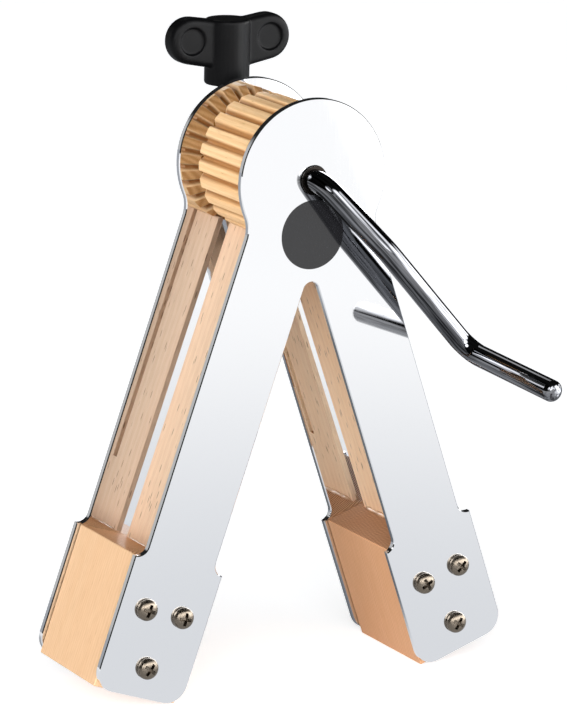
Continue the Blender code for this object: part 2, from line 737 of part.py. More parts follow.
def make_clamp(root):
    half = CLAMP_WIDTH / 2
    bottom = -ROD_BORE_DROP - rod_bore_radius - CLAMP_WALL
    flange_top = CLAMP_TOP + CLAMP_FLANGE_MARGIN
    flange_bottom = bottom - CLAMP_FLANGE_MARGIN
    flange_back = clamp_front + CLAMP_FLANGE_THICKNESS
    corners = [
        Vector((CLAMP_FLANGE_WIDTH / 2 - CLAMP_FLANGE_CORNER, flange_top - CLAMP_FLANGE_CORNER)),
        Vector((CLAMP_FLANGE_CORNER - CLAMP_FLANGE_WIDTH / 2, flange_top - CLAMP_FLANGE_CORNER)),
        Vector((CLAMP_FLANGE_CORNER - CLAMP_FLANGE_WIDTH / 2, flange_bottom + CLAMP_FLANGE_CORNER)),
        Vector((CLAMP_FLANGE_WIDTH / 2 - CLAMP_FLANGE_CORNER, flange_bottom + CLAMP_FLANGE_CORNER)),
    ]
    outline = []
    for quarter, corner in enumerate(corners):
        turn = quarter * math.pi / 2
        first = CLAMP_FLANGE_CORNER * Vector((math.cos(turn), math.sin(turn)))
        last = Vector((-first.y, first.x))
        outline += arc_between(corner, corner + first, corner + last, ARC_STEPS // 2)
    bores = [circle(p, CLAMP_SCREW_DIAMETER / 2 + SEAT_GAP, SCREW_STEPS) for p in clamp_screw_places()]
    bm = bmesh.new()
    prism(bm, outline, bores, clamp_front, flange_back, PLATE_EDGE_BREAK)
    clamp = place("rod_clamp", mesh_from(bm, "rod_clamp", 30), root, "zinc_casting")
    middle = (clamp_front + flange_back) / 2
    body = cutter("clamp_body", mesh_from(box((-half, middle, bottom), (half, clamp_back, CLAMP_TOP)),
                                          "clamp_body"), root)
    soften(body, CLAMP_EDGE_BREAK, 2)
    combine(clamp, body, "UNION")
    low = (CLAMP_TOP + bottom) / 2
    boss = rod(CLAMP_BOSS_DIAMETER / 2, (0, clamp_axis_y, low), (0, clamp_axis_y, CLAMP_BOSS_TOP))
    combine(clamp, cutter("clamp_boss", mesh_from(boss, "clamp_boss"), root), "UNION")
    over = half + CLAMP_EDGE_BREAK
    bore_line = (-over, clamp_axis_y, -ROD_BORE_DROP), (over, clamp_axis_y, -ROD_BORE_DROP)
    bore = rod(rod_bore_radius, *bore_line)
    combine(clamp, cutter("rod_bore", mesh_from(bore, "rod_bore"), root))
    thread = rod(STUD_DIAMETER / 2 + RUNNING_GAP, (0, clamp_axis_y, -ROD_BORE_DROP),
                 (0, clamp_axis_y, CLAMP_BOSS_TOP + CLAMP_EDGE_BREAK), ROUND_STEPS // 4 * 3)
    combine(clamp, cutter("stud_hole", mesh_from(thread, "stud_hole"), root))
    relief_end = outer_face + BUSH_PROUD + SEAT_GAP
    relief = rod(BUSH_DIAMETER / 2 + SEAT_GAP, (0, inner_face, 0), (0, relief_end, 0))
    combine(clamp, cutter("bush_relief", mesh_from(relief, "bush_relief"), root))
    make_clamp_screws(root, flange_back)


def make_clamp_screws(root, flange_back):
    head = CLAMP_SCREW_HEAD / 2
    shank = CLAMP_SCREW_DIAMETER / 2
    sunk = -SEAT_GAP
    length = flange_back - inner_face
    profile = [(0, -length), (shank, -length), (shank, sunk + shank - head), (head, sunk), (0, sunk)]
    bm = turned(profile, SCREW_STEPS, "Y")
    mesh = mesh_from(bm, "clamp_screw", 30)
    for name, point in zip(SIDES, clamp_screw_places()):
        place(f"clamp_screw_{name}", mesh, root, "nickel", (point.x, inner_face, point.y))


# Wing screw: a steel stud and a moulded handle, both on the clamp's upright axis

def make_stud(axis):
    radius = STUD_DIAMETER / 2
    tip = rod_bore_radius - ROD_BORE_DROP + RUNNING_GAP
    top = HUB_BOTTOM + STUD_SOCKET - SEAT_GAP
    profile = [
        (0, tip),
        (radius - STUD_TIP_BREAK, tip),
        (radius, tip + STUD_TIP_BREAK),
        (radius, top),
        (0, top),
    ]
    mesh = mesh_from(turned(profile, ROUND_STEPS // 4 * 3), "clamp_stud", 30)
    place("clamp_stud", mesh, axis, "nickel")


def wing_outline():
    # Both wings in one outline, with round tips, a straight underside and a dipped top
    tip_x = WING_SPAN / 2 - WING_TIP_RADIUS
    tip = Vector((tip_x, HUB_BOTTOM + WING_TIP_RISE))
    root_low = Vector((HUB_DIAMETER / 2, HUB_BOTTOM + WING_ROOT_RISE))
    waist = Vector((0, HUB_BOTTOM + WING_WAIST_RISE))

    def tangent(point, turn):
        # Where a line from the point touches the tip's circle
        span = point - tip
        angle = math.acos(WING_TIP_RADIUS / span.length)
        direction = math.atan2(span.y, span.x) + turn * angle
        return tip + WING_TIP_RADIUS * Vector((math.cos(direction), math.sin(direction)))

    low = tangent(root_low, 1)
    high = tangent(waist, -1)
    far = tip + Vector((WING_TIP_RADIUS, 0))
    right = arc_between(tip, low, far, ARC_STEPS) + arc_between(tip, far, high, ARC_STEPS)[1:]
    right = [root_low] + right
    left = [Vector((-p.x, p.y)) for p in reversed(right)]
    return right + [waist] + left


def make_handle(axis):
    radius = HUB_DIAMETER / 2
    top = HUB_BOTTOM + HUB_HEIGHT
    edge = HUB_EDGE_RADIUS
    profile = [(0, HUB_BOTTOM)]
    profile += hub_edge(radius, HUB_BOTTOM, edge, 1)
    profile += hub_edge(radius, top, edge, -1)[::-1]
    profile.append((0, top))
    hub = place("wing_handle", mesh_from(turned(profile, ROUND_STEPS), "wing_handle", 30), axis,
                "black_plastic")
    bm = bmesh.new()
    outline = wing_outline()
    rings = [[bm.verts.new((p.x, face * WING_THICKNESS / 2, p.y)) for p in outline] for face in (-1, 1)]
    wall(bm, *rings)
    for loop in rings:
        bm.faces.new(loop)
    wings = cutter("wings", mesh_from(bm, "wings", 40), axis)
    soften(wings, WING_EDGE_RADIUS, 3, 50)
    combine(hub, wings, "UNION")
    dishes = []
    tip_x = WING_SPAN / 2 - WING_TIP_RADIUS
    height = HUB_BOTTOM + WING_TIP_RISE
    for side in SIDES.values():
        for face in (-1, 1):
            floor = face * (WING_THICKNESS / 2 - WING_DISH_DEPTH)
            over = face * (WING_THICKNESS / 2 + WING_DISH_DEPTH)
            dishes.append(rod(WING_DISH_RADIUS, (side * tip_x, floor, height), (side * tip_x, over, height)))
    combine(hub, cutter("wing_dishes", mesh_from(joined(dishes), "wing_dishes"), axis))
    socket = rod(STUD_DIAMETER / 2 + RUNNING_GAP, (0, 0, HUB_BOTTOM - edge), (0, 0, HUB_BOTTOM + STUD_SOCKET),
                 ROUND_STEPS // 4 * 3)
    combine(hub, cutter("stud_socket", mesh_from(socket, "stud_socket"), axis))


def hub_edge(radius, height, edge, rise):
    # The rounded edge of the hub's end, from the end face to the side
    steps = ARC_STEPS // 2
    points = []
    for i in range(steps + 1):
        angle = math.pi / 2 * i / steps
        points.append((radius - edge + edge * math.sin(angle), height + rise * edge * (1 - math.cos(angle))))
    return points


def main():
    clear_scene()
    root = empty("axle_centre", None, (0, -depth_middle(), -floor_height()))
    make_plates(root)
    for name, side in SIDES.items():
        make_block(f"{name}_block", side, root)
        make_tongue(f"{name}_tongue", side, root)
    pin_hole = make_wheel(root)
    make_crank(root, pin_hole)
    make_bushes(root)
    make_screws(root)
    make_clamp(root)
    clamp_axis = empty("clamp_axis", root, (0, clamp_axis_y, 0))
    make_stud(clamp_axis)
    make_handle(clamp_axis)


main()
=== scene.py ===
import json
import math

import bmesh
import bpy
from mathutils import Matrix, Vector, noise


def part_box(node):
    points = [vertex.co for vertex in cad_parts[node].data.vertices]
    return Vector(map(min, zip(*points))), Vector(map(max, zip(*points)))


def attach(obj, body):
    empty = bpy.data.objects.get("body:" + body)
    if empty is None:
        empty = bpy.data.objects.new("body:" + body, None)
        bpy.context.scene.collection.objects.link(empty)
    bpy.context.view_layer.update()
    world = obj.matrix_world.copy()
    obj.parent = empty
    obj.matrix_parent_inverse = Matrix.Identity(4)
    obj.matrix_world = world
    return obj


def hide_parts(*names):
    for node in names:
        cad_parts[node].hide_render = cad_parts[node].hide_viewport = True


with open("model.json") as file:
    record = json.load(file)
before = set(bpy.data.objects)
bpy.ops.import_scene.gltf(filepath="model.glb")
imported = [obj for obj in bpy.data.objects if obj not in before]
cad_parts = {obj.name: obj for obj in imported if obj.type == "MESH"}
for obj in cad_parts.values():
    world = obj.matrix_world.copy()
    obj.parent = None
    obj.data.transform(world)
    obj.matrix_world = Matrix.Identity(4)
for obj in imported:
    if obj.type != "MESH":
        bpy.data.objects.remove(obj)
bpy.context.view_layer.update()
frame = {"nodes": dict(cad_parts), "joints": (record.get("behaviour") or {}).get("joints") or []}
cad = frame["nodes"]
joints = {joint["name"]: joint for joint in frame["joints"]}
axle = Vector(joints["crank_turn"]["pos_m"])
wingAxis = Vector(joints["wing_turn"]["pos_m"])
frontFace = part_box("front_plate")[0].y
mm = 0.001
print("frame:", len(cad), "nodes, axle at", [round(v, 4) for v in axle])


# Small helpers

def linear(hexColour):
    channels = [int(hexColour[i:i + 2], 16) / 255 for i in (0, 2, 4)]
    return tuple(c / 12.92 if c <= 0.04045 else ((c + 0.055) / 1.055) ** 2.4 for c in channels) + (1.0,)


def adjust(tree, node, values=None, links=None):
    for socket, value in (values or {}).items():
        node.inputs[socket].default_value = value
    for socket, source in (links or {}).items():
        tree.links.new(source, node.inputs[socket])
    return node


def addNode(tree, kind, settings=None, values=None, links=None):
    node = tree.nodes.new(kind)
    for name, value in (settings or {}).items():
        setattr(node, name, value)
    return adjust(tree, node, values, links)


# Settings that many nodes share
smoothly = {"interpolation_type": "SMOOTHSTEP"}
colourMix = {"data_type": "RGBA"}
tintMix = {"data_type": "RGBA", "blend_type": "MULTIPLY"}


def startMaterial(name):
    material = bpy.data.materials.new(name)
    material.use_nodes = True
    tree = material.node_tree
    here = {"Vector": addNode(tree, "ShaderNodeTexCoord").outputs["Object"]}
    return material, tree, tree.nodes["Principled BSDF"], here


def keepObject(name, mesh):
    item = bpy.data.objects.new(name, mesh)
    bpy.context.scene.collection.objects.link(item)
    return item


def dress(item, body, material, replaced=()):
    item.data.materials.clear()
    item.data.materials.append(material)
    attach(item, body)
    if replaced:
        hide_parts(*replaced)


def smoothShade(mesh, angle):
    mesh.shade_smooth()
    mesh.set_sharp_from_angle(angle=math.radians(angle))
    return mesh


def meshOf(bm, name, smoothAngle=30):
    mesh = bpy.data.meshes.new(name)
    bm.to_mesh(mesh)
    bm.free()
    if "custom_normal" in mesh.attributes:
        mesh.attributes.remove(mesh.attributes["custom_normal"])
    return smoothShade(mesh, smoothAngle)


def bakedMesh(item, *helpers):
    # The mesh that the modifiers give; the object and its helpers aren't kept
    bpy.context.view_layer.update()
    graph = bpy.context.evaluated_depsgraph_get()
    mesh = bpy.data.meshes.new_from_object(item.evaluated_get(graph))
    for spare in (item, *helpers):
        bpy.data.objects.remove(spare, do_unlink=True)
    return mesh


weld = {"reach": 0.001 * mm, "flatAngle": 0.3}  # points nearer than this are one, bends below this are flat


def mergedCopy(nodeName):
    bm = bmesh.new()
    bm.from_mesh(cad[nodeName].data)
    flat = math.radians(weld["flatAngle"])
    bmesh.ops.remove_doubles(bm, verts=bm.verts, dist=weld["reach"])
    bmesh.ops.dissolve_limit(bm, angle_limit=flat, verts=bm.verts, edges=bm.edges)
    return bm


def ringPoints(radius, count):
    angles = [2 * math.pi * i / count for i in range(count)]
    return [(radius * math.cos(angle), radius * math.sin(angle)) for angle in angles]


def tubeObject(name, rings, smoothAngle=30):
    # Rings of points, joined one to the next and closed at both ends
    bm = bmesh.new()
    loops = [[bm.verts.new(spot) for spot in ring] for ring in rings]
    for first, last in zip(loops, loops[1:]):
        for i in range(len(first)):
            bm.faces.new((first[i - 1], first[i], last[i], last[i - 1]))
    bm.faces.new(loops[0])
    bm.faces.new(loops[-1])
    bmesh.ops.recalc_face_normals(bm, faces=bm.faces)
    return keepObject(name, meshOf(bm, name, smoothAngle))


def addVectors(mesh, name, vectors):
    attribute = mesh.attributes.new(name, "FLOAT_VECTOR", "POINT")
    for point, vector in zip(attribute.data, vectors):
        point.vector = vector


def startTree(name, kinds):
    # A geometry node tree with one named input for each size, object or material
    tree = bpy.data.node_groups.new(name, "GeometryNodeTree")
    tree.interface.new_socket("Geometry", in_out="INPUT", socket_type="NodeSocketGeometry")
    ids = {}
    for socket, kind in kinds.items():
        ids[socket] = tree.interface.new_socket(socket, in_out="INPUT", socket_type=kind).identifier
    tree.interface.new_socket("Geometry", in_out="OUTPUT", socket_type="NodeSocketGeometry")
    return tree, ids, addNode(tree, "NodeGroupInput").outputs


def endTree(tree, geometry, material):
    real = addNode(tree, "GeometryNodeRealizeInstances", links={"Geometry": geometry})
    final = addNode(tree, "GeometryNodeSetMaterial",
                    links={"Geometry": real.outputs[0], "Material": material})
    addNode(tree, "NodeGroupOutput", links={0: final.outputs[0]})


def runTree(item, tree, ids, values, *helpers):
    modifier = item.modifiers.new("nodes", "NODES")
    modifier.node_group = tree
    for name, value in values.items():
        modifier[ids[name]] = value
    return bakedMesh(item, *helpers)


# Camera, at the photograph's place and angle, set from the front plate's face at the axle

shot = {
    "azimuth": -29.26,       # degrees, negative to the left of straight on
    "elevation": 13.72,
    "roll": 1.11,
    "distance": 1787.87,     # mm from the axle's front
    "slideRight": -12.80,    # mm
    "slideUp": -73.52,       # mm
    "focalPixels": 4218.48,  # for a picture 567 pixels wide
    "pictureWidth": 567,
    "sensor": 36.0,
    "clipEnd": 20.0,         # metres
}


def setCamera():
    azimuth, elevation, roll = (math.radians(shot[k]) for k in ("azimuth", "elevation", "roll"))
    flat = math.cos(elevation)
    back = Vector((math.sin(azimuth) * flat, -math.cos(azimuth) * flat, math.sin(elevation)))
    level = Vector((math.cos(azimuth), math.sin(azimuth), 0))
    upright = back.cross(level)
    right = level * math.cos(roll) + upright * math.sin(roll)
    up = upright * math.cos(roll) - level * math.sin(roll)
    target = Vector((axle.x, frontFace, axle.z))
    spot = target + (back * shot["distance"] + right * shot["slideRight"] + up * shot["slideUp"]) * mm
    lens = bpy.data.cameras.new("camera")
    lens.sensor_fit = "HORIZONTAL"
    lens.sensor_width = shot["sensor"]
    lens.lens = shot["focalPixels"] / shot["pictureWidth"] * shot["sensor"]
    lens.clip_end = shot["clipEnd"]
    camera = keepObject("camera", lens)
    turn = Matrix((right, up, back)).transposed().to_4x4()
    camera.matrix_world = Matrix.Translation(spot) @ turn
    bpy.context.scene.camera = camera


# Studio: white floor and two big soft lamps, left and front; polished metal sees a floor with grey,
# dark and bright zones, and lit panels round the room

studio = {
    "floorSize": 12.0,
    "paperTone": (0.72, 0.72, 0.72, 1),
    "whiteGlow": 0.61,
    "shadowTone": (0.86, 0.86, 0.86, 1),
    "mirrorNear": "dbdde0",
    "mirrorFar": "ffffff",
    "mirrorBackLeft": "a0a3a8",
    "mirrorBackRight": "a8abaf",
    "mirrorDark": "686b70",
    "mirrorGlow": 1.26,
    "rightGlow": 10.5,
    # Zones of the floor that only metal sees: each starts at one distance and is full at another, in metres
    "zones": {
        "far": {"measure": "DISTANCE", "by": (0, 0, 0), "from": 0.05, "full": 0.80},
        "back": {"measure": "DOT_PRODUCT", "by": (0.60, 0.80, 0), "from": 0.07, "full": 0.15},
        "backRight": {"measure": "DOT_PRODUCT", "by": (1, 0, 0), "from": -0.25, "full": 0.25},
        "clear": {"measure": "DISTANCE", "by": (0, 0.16, 0), "from": 0.11, "full": 0.165},
        "right": {"measure": "DOT_PRODUCT", "by": (0.90, 0.435, 0), "from": 0.10, "full": 0.20},
        "ahead": {"measure": "DOT_PRODUCT", "by": (0, 1, 0), "from": -0.15, "full": -0.30},
    },
    "skyLow": 1.3,
    "skyHigh": 0.10,
    "skyDarkWay": (0.0, 0.55, 0.83),
    "skyDarkFull": 0.75,
    "skyColour": "f4f7fb",
    "panels": (
        {"aim": (0.95, -0.10, 0.12), "inner": 9, "outer": 19, "glow": 10.5},
        {"aim": (0.72, -0.68, 0.10), "inner": 12, "outer": 26, "glow": 9.8},
        {"aim": (0.12, -0.97, 0.16), "inner": 12, "outer": 28, "glow": 7.5},
        {"aim": (-0.50, -0.75, 0.36), "inner": 9, "outer": 18, "glow": 8.5},
        {"aim": (-0.52, 0.85, 0.06), "inner": 12, "outer": 24, "glow": 0.6},
        {"aim": (0.30, 0.72, 0.62), "inner": 5, "outer": 8, "glow": 1.2},
    ),
    "roomGlow": 0.02,
    "lamps": {
        "softKey": {"power": 18.5, "size": 1.6, "place": (-1.45, -0.90, 0.50)},
        "softFill": {"power": 22.0, "size": 1.4, "place": (-0.75, -1.65, 0.40)},
    },
    "lampAim": (0, 0, 0.13),
}


def rayMix(tree, indirect, camera, mirror):
    # One look for diffuse rays, one for the camera and one for polished metal
    path = addNode(tree, "ShaderNodeLightPath")
    direct = addNode(tree, "ShaderNodeMixShader",
                     links={0: path.outputs["Is Camera Ray"], 1: indirect.outputs[0], 2: camera.outputs[0]})
    return addNode(tree, "ShaderNodeMixShader",
                   links={0: path.outputs["Is Glossy Ray"], 1: direct.outputs[0], 2: mirror.outputs[0]})


def setFloor():
    # White paper: matt, and plain white to the eye apart from the object's soft shadow
    material = bpy.data.materials.new("whitePaperFloor")
    material.use_nodes = True
    tree = material.node_tree
    tree.nodes.clear()
    paper = addNode(tree, "ShaderNodeBsdfDiffuse", None, {"Color": studio["paperTone"]})
    glow = addNode(tree, "ShaderNodeEmission", None, {"Strength": studio["whiteGlow"]})
    lit = addNode(tree, "ShaderNodeBsdfDiffuse", None, {"Color": studio["shadowTone"]})
    white = addNode(tree, "ShaderNodeAddShader", links={0: glow.outputs[0], 1: lit.outputs[0]})
    place = addNode(tree, "ShaderNodeTexCoord").outputs
    inZone = {}
    for name, zone in studio["zones"].items():
        reach = addNode(tree, "ShaderNodeVectorMath", {"operation": zone["measure"]}, {1: zone["by"]},
                        {0: place["Object"]})
        share = addNode(tree, "ShaderNodeMapRange", smoothly,
                        {"From Min": zone["from"], "From Max": zone["full"]},
                        {"Value": reach.outputs["Value"]})
        inZone[name] = share.outputs["Result"]
    pale = addNode(tree, "ShaderNodeMix", colourMix,
                   {6: linear(studio["mirrorNear"]), 7: linear(studio["mirrorFar"])}, {0: inZone["far"]})
    backTone = addNode(tree, "ShaderNodeMix", colourMix,
                       {6: linear(studio["mirrorBackLeft"]), 7: linear(studio["mirrorBackRight"])},
                       {0: inZone["backRight"]})
    grey = addNode(tree, "ShaderNodeMix", colourMix, None,
                   {0: inZone["back"], 6: pale.outputs[2], 7: backTone.outputs[2]})
    tone = addNode(tree, "ShaderNodeMix", colourMix, {6: linear(studio["mirrorDark"])},
                   {0: inZone["clear"], 7: grey.outputs[2]})
    corner = addNode(tree, "ShaderNodeMath", {"operation": "MULTIPLY"},
                     links={0: inZone["right"], 1: inZone["ahead"]})
    level = addNode(tree, "ShaderNodeMapRange", None,
                    {"To Min": studio["mirrorGlow"], "To Max": studio["rightGlow"]},
                    {"Value": corner.outputs[0]})
    mirrored = addNode(tree, "ShaderNodeEmission",
                       links={"Color": tone.outputs[2], "Strength": level.outputs["Result"]})
    mix = rayMix(tree, paper, white, mirrored)
    addNode(tree, "ShaderNodeOutputMaterial", links={"Surface": mix.outputs[0]})
    bm = bmesh.new()
    bmesh.ops.create_grid(bm, x_segments=1, y_segments=1, size=studio["floorSize"] / 2)
    floor = keepObject("floor", meshOf(bm, "floor"))
    floor.data.materials.append(material)


def setSky():
    world = bpy.data.worlds.new("studioSky")
    bpy.context.scene.world = world
    world.use_nodes = True
    tree = world.node_tree
    tree.nodes.clear()
    place = addNode(tree, "ShaderNodeTexCoord").outputs
    way = addNode(tree, "ShaderNodeVectorMath", {"operation": "DOT_PRODUCT"}, {1: studio["skyDarkWay"]},
                  {0: place["Generated"]})
    fade = addNode(tree, "ShaderNodeMapRange", None,
                   {"From Max": studio["skyDarkFull"], "To Min": studio["skyLow"],
                    "To Max": studio["skyHigh"]}, {"Value": way.outputs["Value"]})
    ambient = addNode(tree, "ShaderNodeBackground", None, {"Color": linear(studio["skyColour"])},
                      {"Strength": fade.outputs["Result"]})
    white = (1, 1, 1, 1)
    backdrop = addNode(tree, "ShaderNodeBackground", None, {"Color": white, "Strength": 1.0})
    level = None
    for panel in studio["panels"]:
        near = addNode(tree, "ShaderNodeVectorMath", {"operation": "DOT_PRODUCT"},
                       {1: Vector(panel["aim"]).normalized()}, {0: place["Generated"]})
        outer, inner = (math.cos(math.radians(panel[edge])) for edge in ("outer", "inner"))
        lit = addNode(tree, "ShaderNodeMapRange", smoothly,
                      {"From Min": outer, "From Max": inner, "To Min": studio["roomGlow"],
                       "To Max": panel["glow"]}, {"Value": near.outputs["Value"]})
        if level is None:
            level = lit
        else:
            level = addNode(tree, "ShaderNodeMath", {"operation": "MAXIMUM"},
                            links={0: level.outputs[0], 1: lit.outputs[0]})
    room = addNode(tree, "ShaderNodeBackground", None, {"Color": white}, {"Strength": level.outputs[0]})
    mix = rayMix(tree, ambient, backdrop, room)
    addNode(tree, "ShaderNodeOutputWorld", links={"Surface": mix.outputs[0]})


def setLamps():
    for name, soft in studio["lamps"].items():
        lamp = bpy.data.lights.new(name, "AREA")
        lamp.shape = "DISK"
        lamp.energy = soft["power"]
        lamp.size = soft["size"]
        item = keepObject(name, lamp)
        item.visible_glossy = False  # metal mirrors the panels instead
        aim = Vector(studio["lampAim"]) - Vector(soft["place"])
        turn = aim.to_track_quat("-Z", "Y").to_matrix().to_4x4()
        item.matrix_world = Matrix.Translation(soft["place"]) @ turn


setCamera()
setFloor()
setSky()
setLamps()
bpy.context.scene.view_settings.view_transform = "Standard"
print("studio: camera, floor, sky and", len(studio["lamps"]), "lamps")


# Materials

sheet = {
    "colour": "e2e3e5", "markWidth": 0.6 * mm, "markStretch": 0.04, "roughLow": 0.015, "roughHigh": 0.05,
    "rollLength": 22 * mm, "rollDepth": 0.4 * mm,
}


def polishedSteel():
    # Stainless sheet, mirror polished: clean reflections, broken only by a faint roll of the
    # sheet and by hairline polishing marks
    material, tree, shader, here = startMaterial("polishedStainless")
    hairlines = addNode(tree, "ShaderNodeMapping", None, {"Scale": (1, 1, sheet["markStretch"])}, here)
    marks = addNode(tree, "ShaderNodeTexNoise", None, {"Scale": 1 / sheet["markWidth"], "Detail": 3.0},
                    {"Vector": hairlines.outputs[0]})
    rough = addNode(tree, "ShaderNodeMapRange", None,
                    {"From Min": 0.35, "From Max": 0.75, "To Min": sheet["roughLow"],
                     "To Max": sheet["roughHigh"]}, {"Value": marks.outputs["Fac"]})
    roll = addNode(tree, "ShaderNodeTexNoise", None, {"Scale": 1 / sheet["rollLength"], "Detail": 1.0}, here)
    bump = addNode(tree, "ShaderNodeBump", None, {"Strength": 0.02, "Distance": sheet["rollDepth"]},
                   {"Height": roll.outputs["Fac"]})
    adjust(tree, shader, {"Base Color": linear(sheet["colour"]), "Metallic": 1.0},
           {"Roughness": rough.outputs["Result"], "Normal": bump.outputs[0]})
    return material


metals = {
    # Chrome plate over a drawn steel bar, sharp: its dark colour and streaked tone are painted reflection of
    # a dark room
    "brightChrome": {"colour": "515255", "low": 0.02, "high": 0.05},
    # Nickel plate on small screws: warm grey with soft highlights
    "warmNickel": {"colour": "746b60", "low": 0.30, "high": 0.42, "grain": 0.8 * mm, "depth": 0.01 * mm},
    # Sintered bronze, soaked in oil, satin: nearly black, partly its own colour and partly painted reflection
    # of dark
    "oiledBronze": {"colour": "1f1c1a", "low": 0.22, "high": 0.40, "grain": 0.5 * mm, "depth": 0.02 * mm},
    # Zinc casting, tumbled and plated: pale satin grey with a slightly uneven skin
    "platedCasting": {"colour": "b4b6b9", "low": 0.26, "high": 0.42, "grain": 0.7 * mm, "depth": 0.05 * mm},
}


def platedMetal(name):
    # One colour, with a roughness that drifts and, on most, a fine surface grain
    look = metals[name]
    material, tree, shader, here = startMaterial(name)
    drift = addNode(tree, "ShaderNodeTexNoise", None, {"Scale": 1 / (4 * mm), "Detail": 4.0}, here)
    rough = addNode(tree, "ShaderNodeMapRange", None,
                    {"From Min": 0.3, "From Max": 0.7, "To Min": look["low"], "To Max": look["high"]},
                    {"Value": drift.outputs["Fac"]})
    adjust(tree, shader, {"Base Color": linear(look["colour"]), "Metallic": 1.0},
           {"Roughness": rough.outputs["Result"]})
    if "grain" in look:
        fine = addNode(tree, "ShaderNodeTexNoise", None, {"Scale": 1 / look["grain"], "Detail": 2.0}, here)
        bump = addNode(tree, "ShaderNodeBump", None, {"Strength": 0.25, "Distance": look["depth"]},
                       {"Height": fine.outputs["Fac"]})
        tree.links.new(bump.outputs[0], shader.inputs["Normal"])
    return material


# Painted reflection streak lines on the crank's chrome: their dark and light colours, width and length
reflectionStreaks = {
    "dark": "1a1b1d", "light": "808185",
    "width": 1.4 * mm, "length": 62.5 * mm,
    "low": 0.34, "high": 0.64,       # shares of the noise that are fully dark and fully light
}


def paintReflectionStreaks(material):
    # Painted reflection: lighter and darker streak lines along the bar, put in its colour, stand in for what
    # the bar mirrors
    tree = material.node_tree
    shader = tree.nodes["Principled BSDF"]
    way = addNode(tree, "ShaderNodeAttribute", {"attribute_name": "barWay"})
    across = 1 / reflectionStreaks["width"]
    drawn = addNode(tree, "ShaderNodeMapping", None, {"Scale": (across, across, 1 / reflectionStreaks["length"])},
                    {"Vector": way.outputs["Vector"]})
    lines = addNode(tree, "ShaderNodeTexNoise", None, {"Scale": 1.0, "Detail": 4.0, "Roughness": 0.65},
                    {"Vector": drawn.outputs[0]})
    share = addNode(tree, "ShaderNodeMapRange", smoothly,
                    {"From Min": reflectionStreaks["low"], "From Max": reflectionStreaks["high"]},
                    {"Value": lines.outputs["Fac"]})
    tone = addNode(tree, "ShaderNodeMix", colourMix,
                   {6: linear(reflectionStreaks["dark"]), 7: linear(reflectionStreaks["light"])},
                   {0: share.outputs["Result"]})
    tree.links.new(tone.outputs[2], shader.inputs["Base Color"])


def blackPlastic():
    # Moulded nylon, spark-eroded tool: deep grey-black, satin, with a grit too fine to see
    # singly, so it is drawn at 0.35 mm to show in the picture
    material, tree, shader, here = startMaterial("mouldedNylon")
    grit = addNode(tree, "ShaderNodeTexNoise", None, {"Scale": 1 / (0.35 * mm), "Detail": 3.0}, here)
    cloud = addNode(tree, "ShaderNodeTexNoise", None, {"Scale": 1 / (9 * mm), "Detail": 2.0}, here)
    tone = addNode(tree, "ShaderNodeMix", colourMix, {6: linear("060607"), 7: linear("0c0c0d")},
                   {0: cloud.outputs["Fac"]})
    rough = addNode(tree, "ShaderNodeMapRange", None,
                    {"From Min": 0.3, "From Max": 0.7, "To Min": 0.36, "To Max": 0.52},
                    {"Value": grit.outputs["Fac"]})
    bump = addNode(tree, "ShaderNodeBump", None, {"Strength": 0.25, "Distance": 0.06 * mm},
                   {"Height": grit.outputs["Fac"]})
    adjust(tree, shader, {"Specular IOR Level": 0.08},
           {"Base Color": tone.outputs[2], "Roughness": rough.outputs["Result"], "Normal": bump.outputs[0]})
    return material


# What every piece of beech shares
grain = {
    "stretch": 0.05, "broad": 9 * mm, "fleckCore": 0.5, "fleckEdge": 0.9, "endFull": 0.95, "roughSpan": 0.15,
}


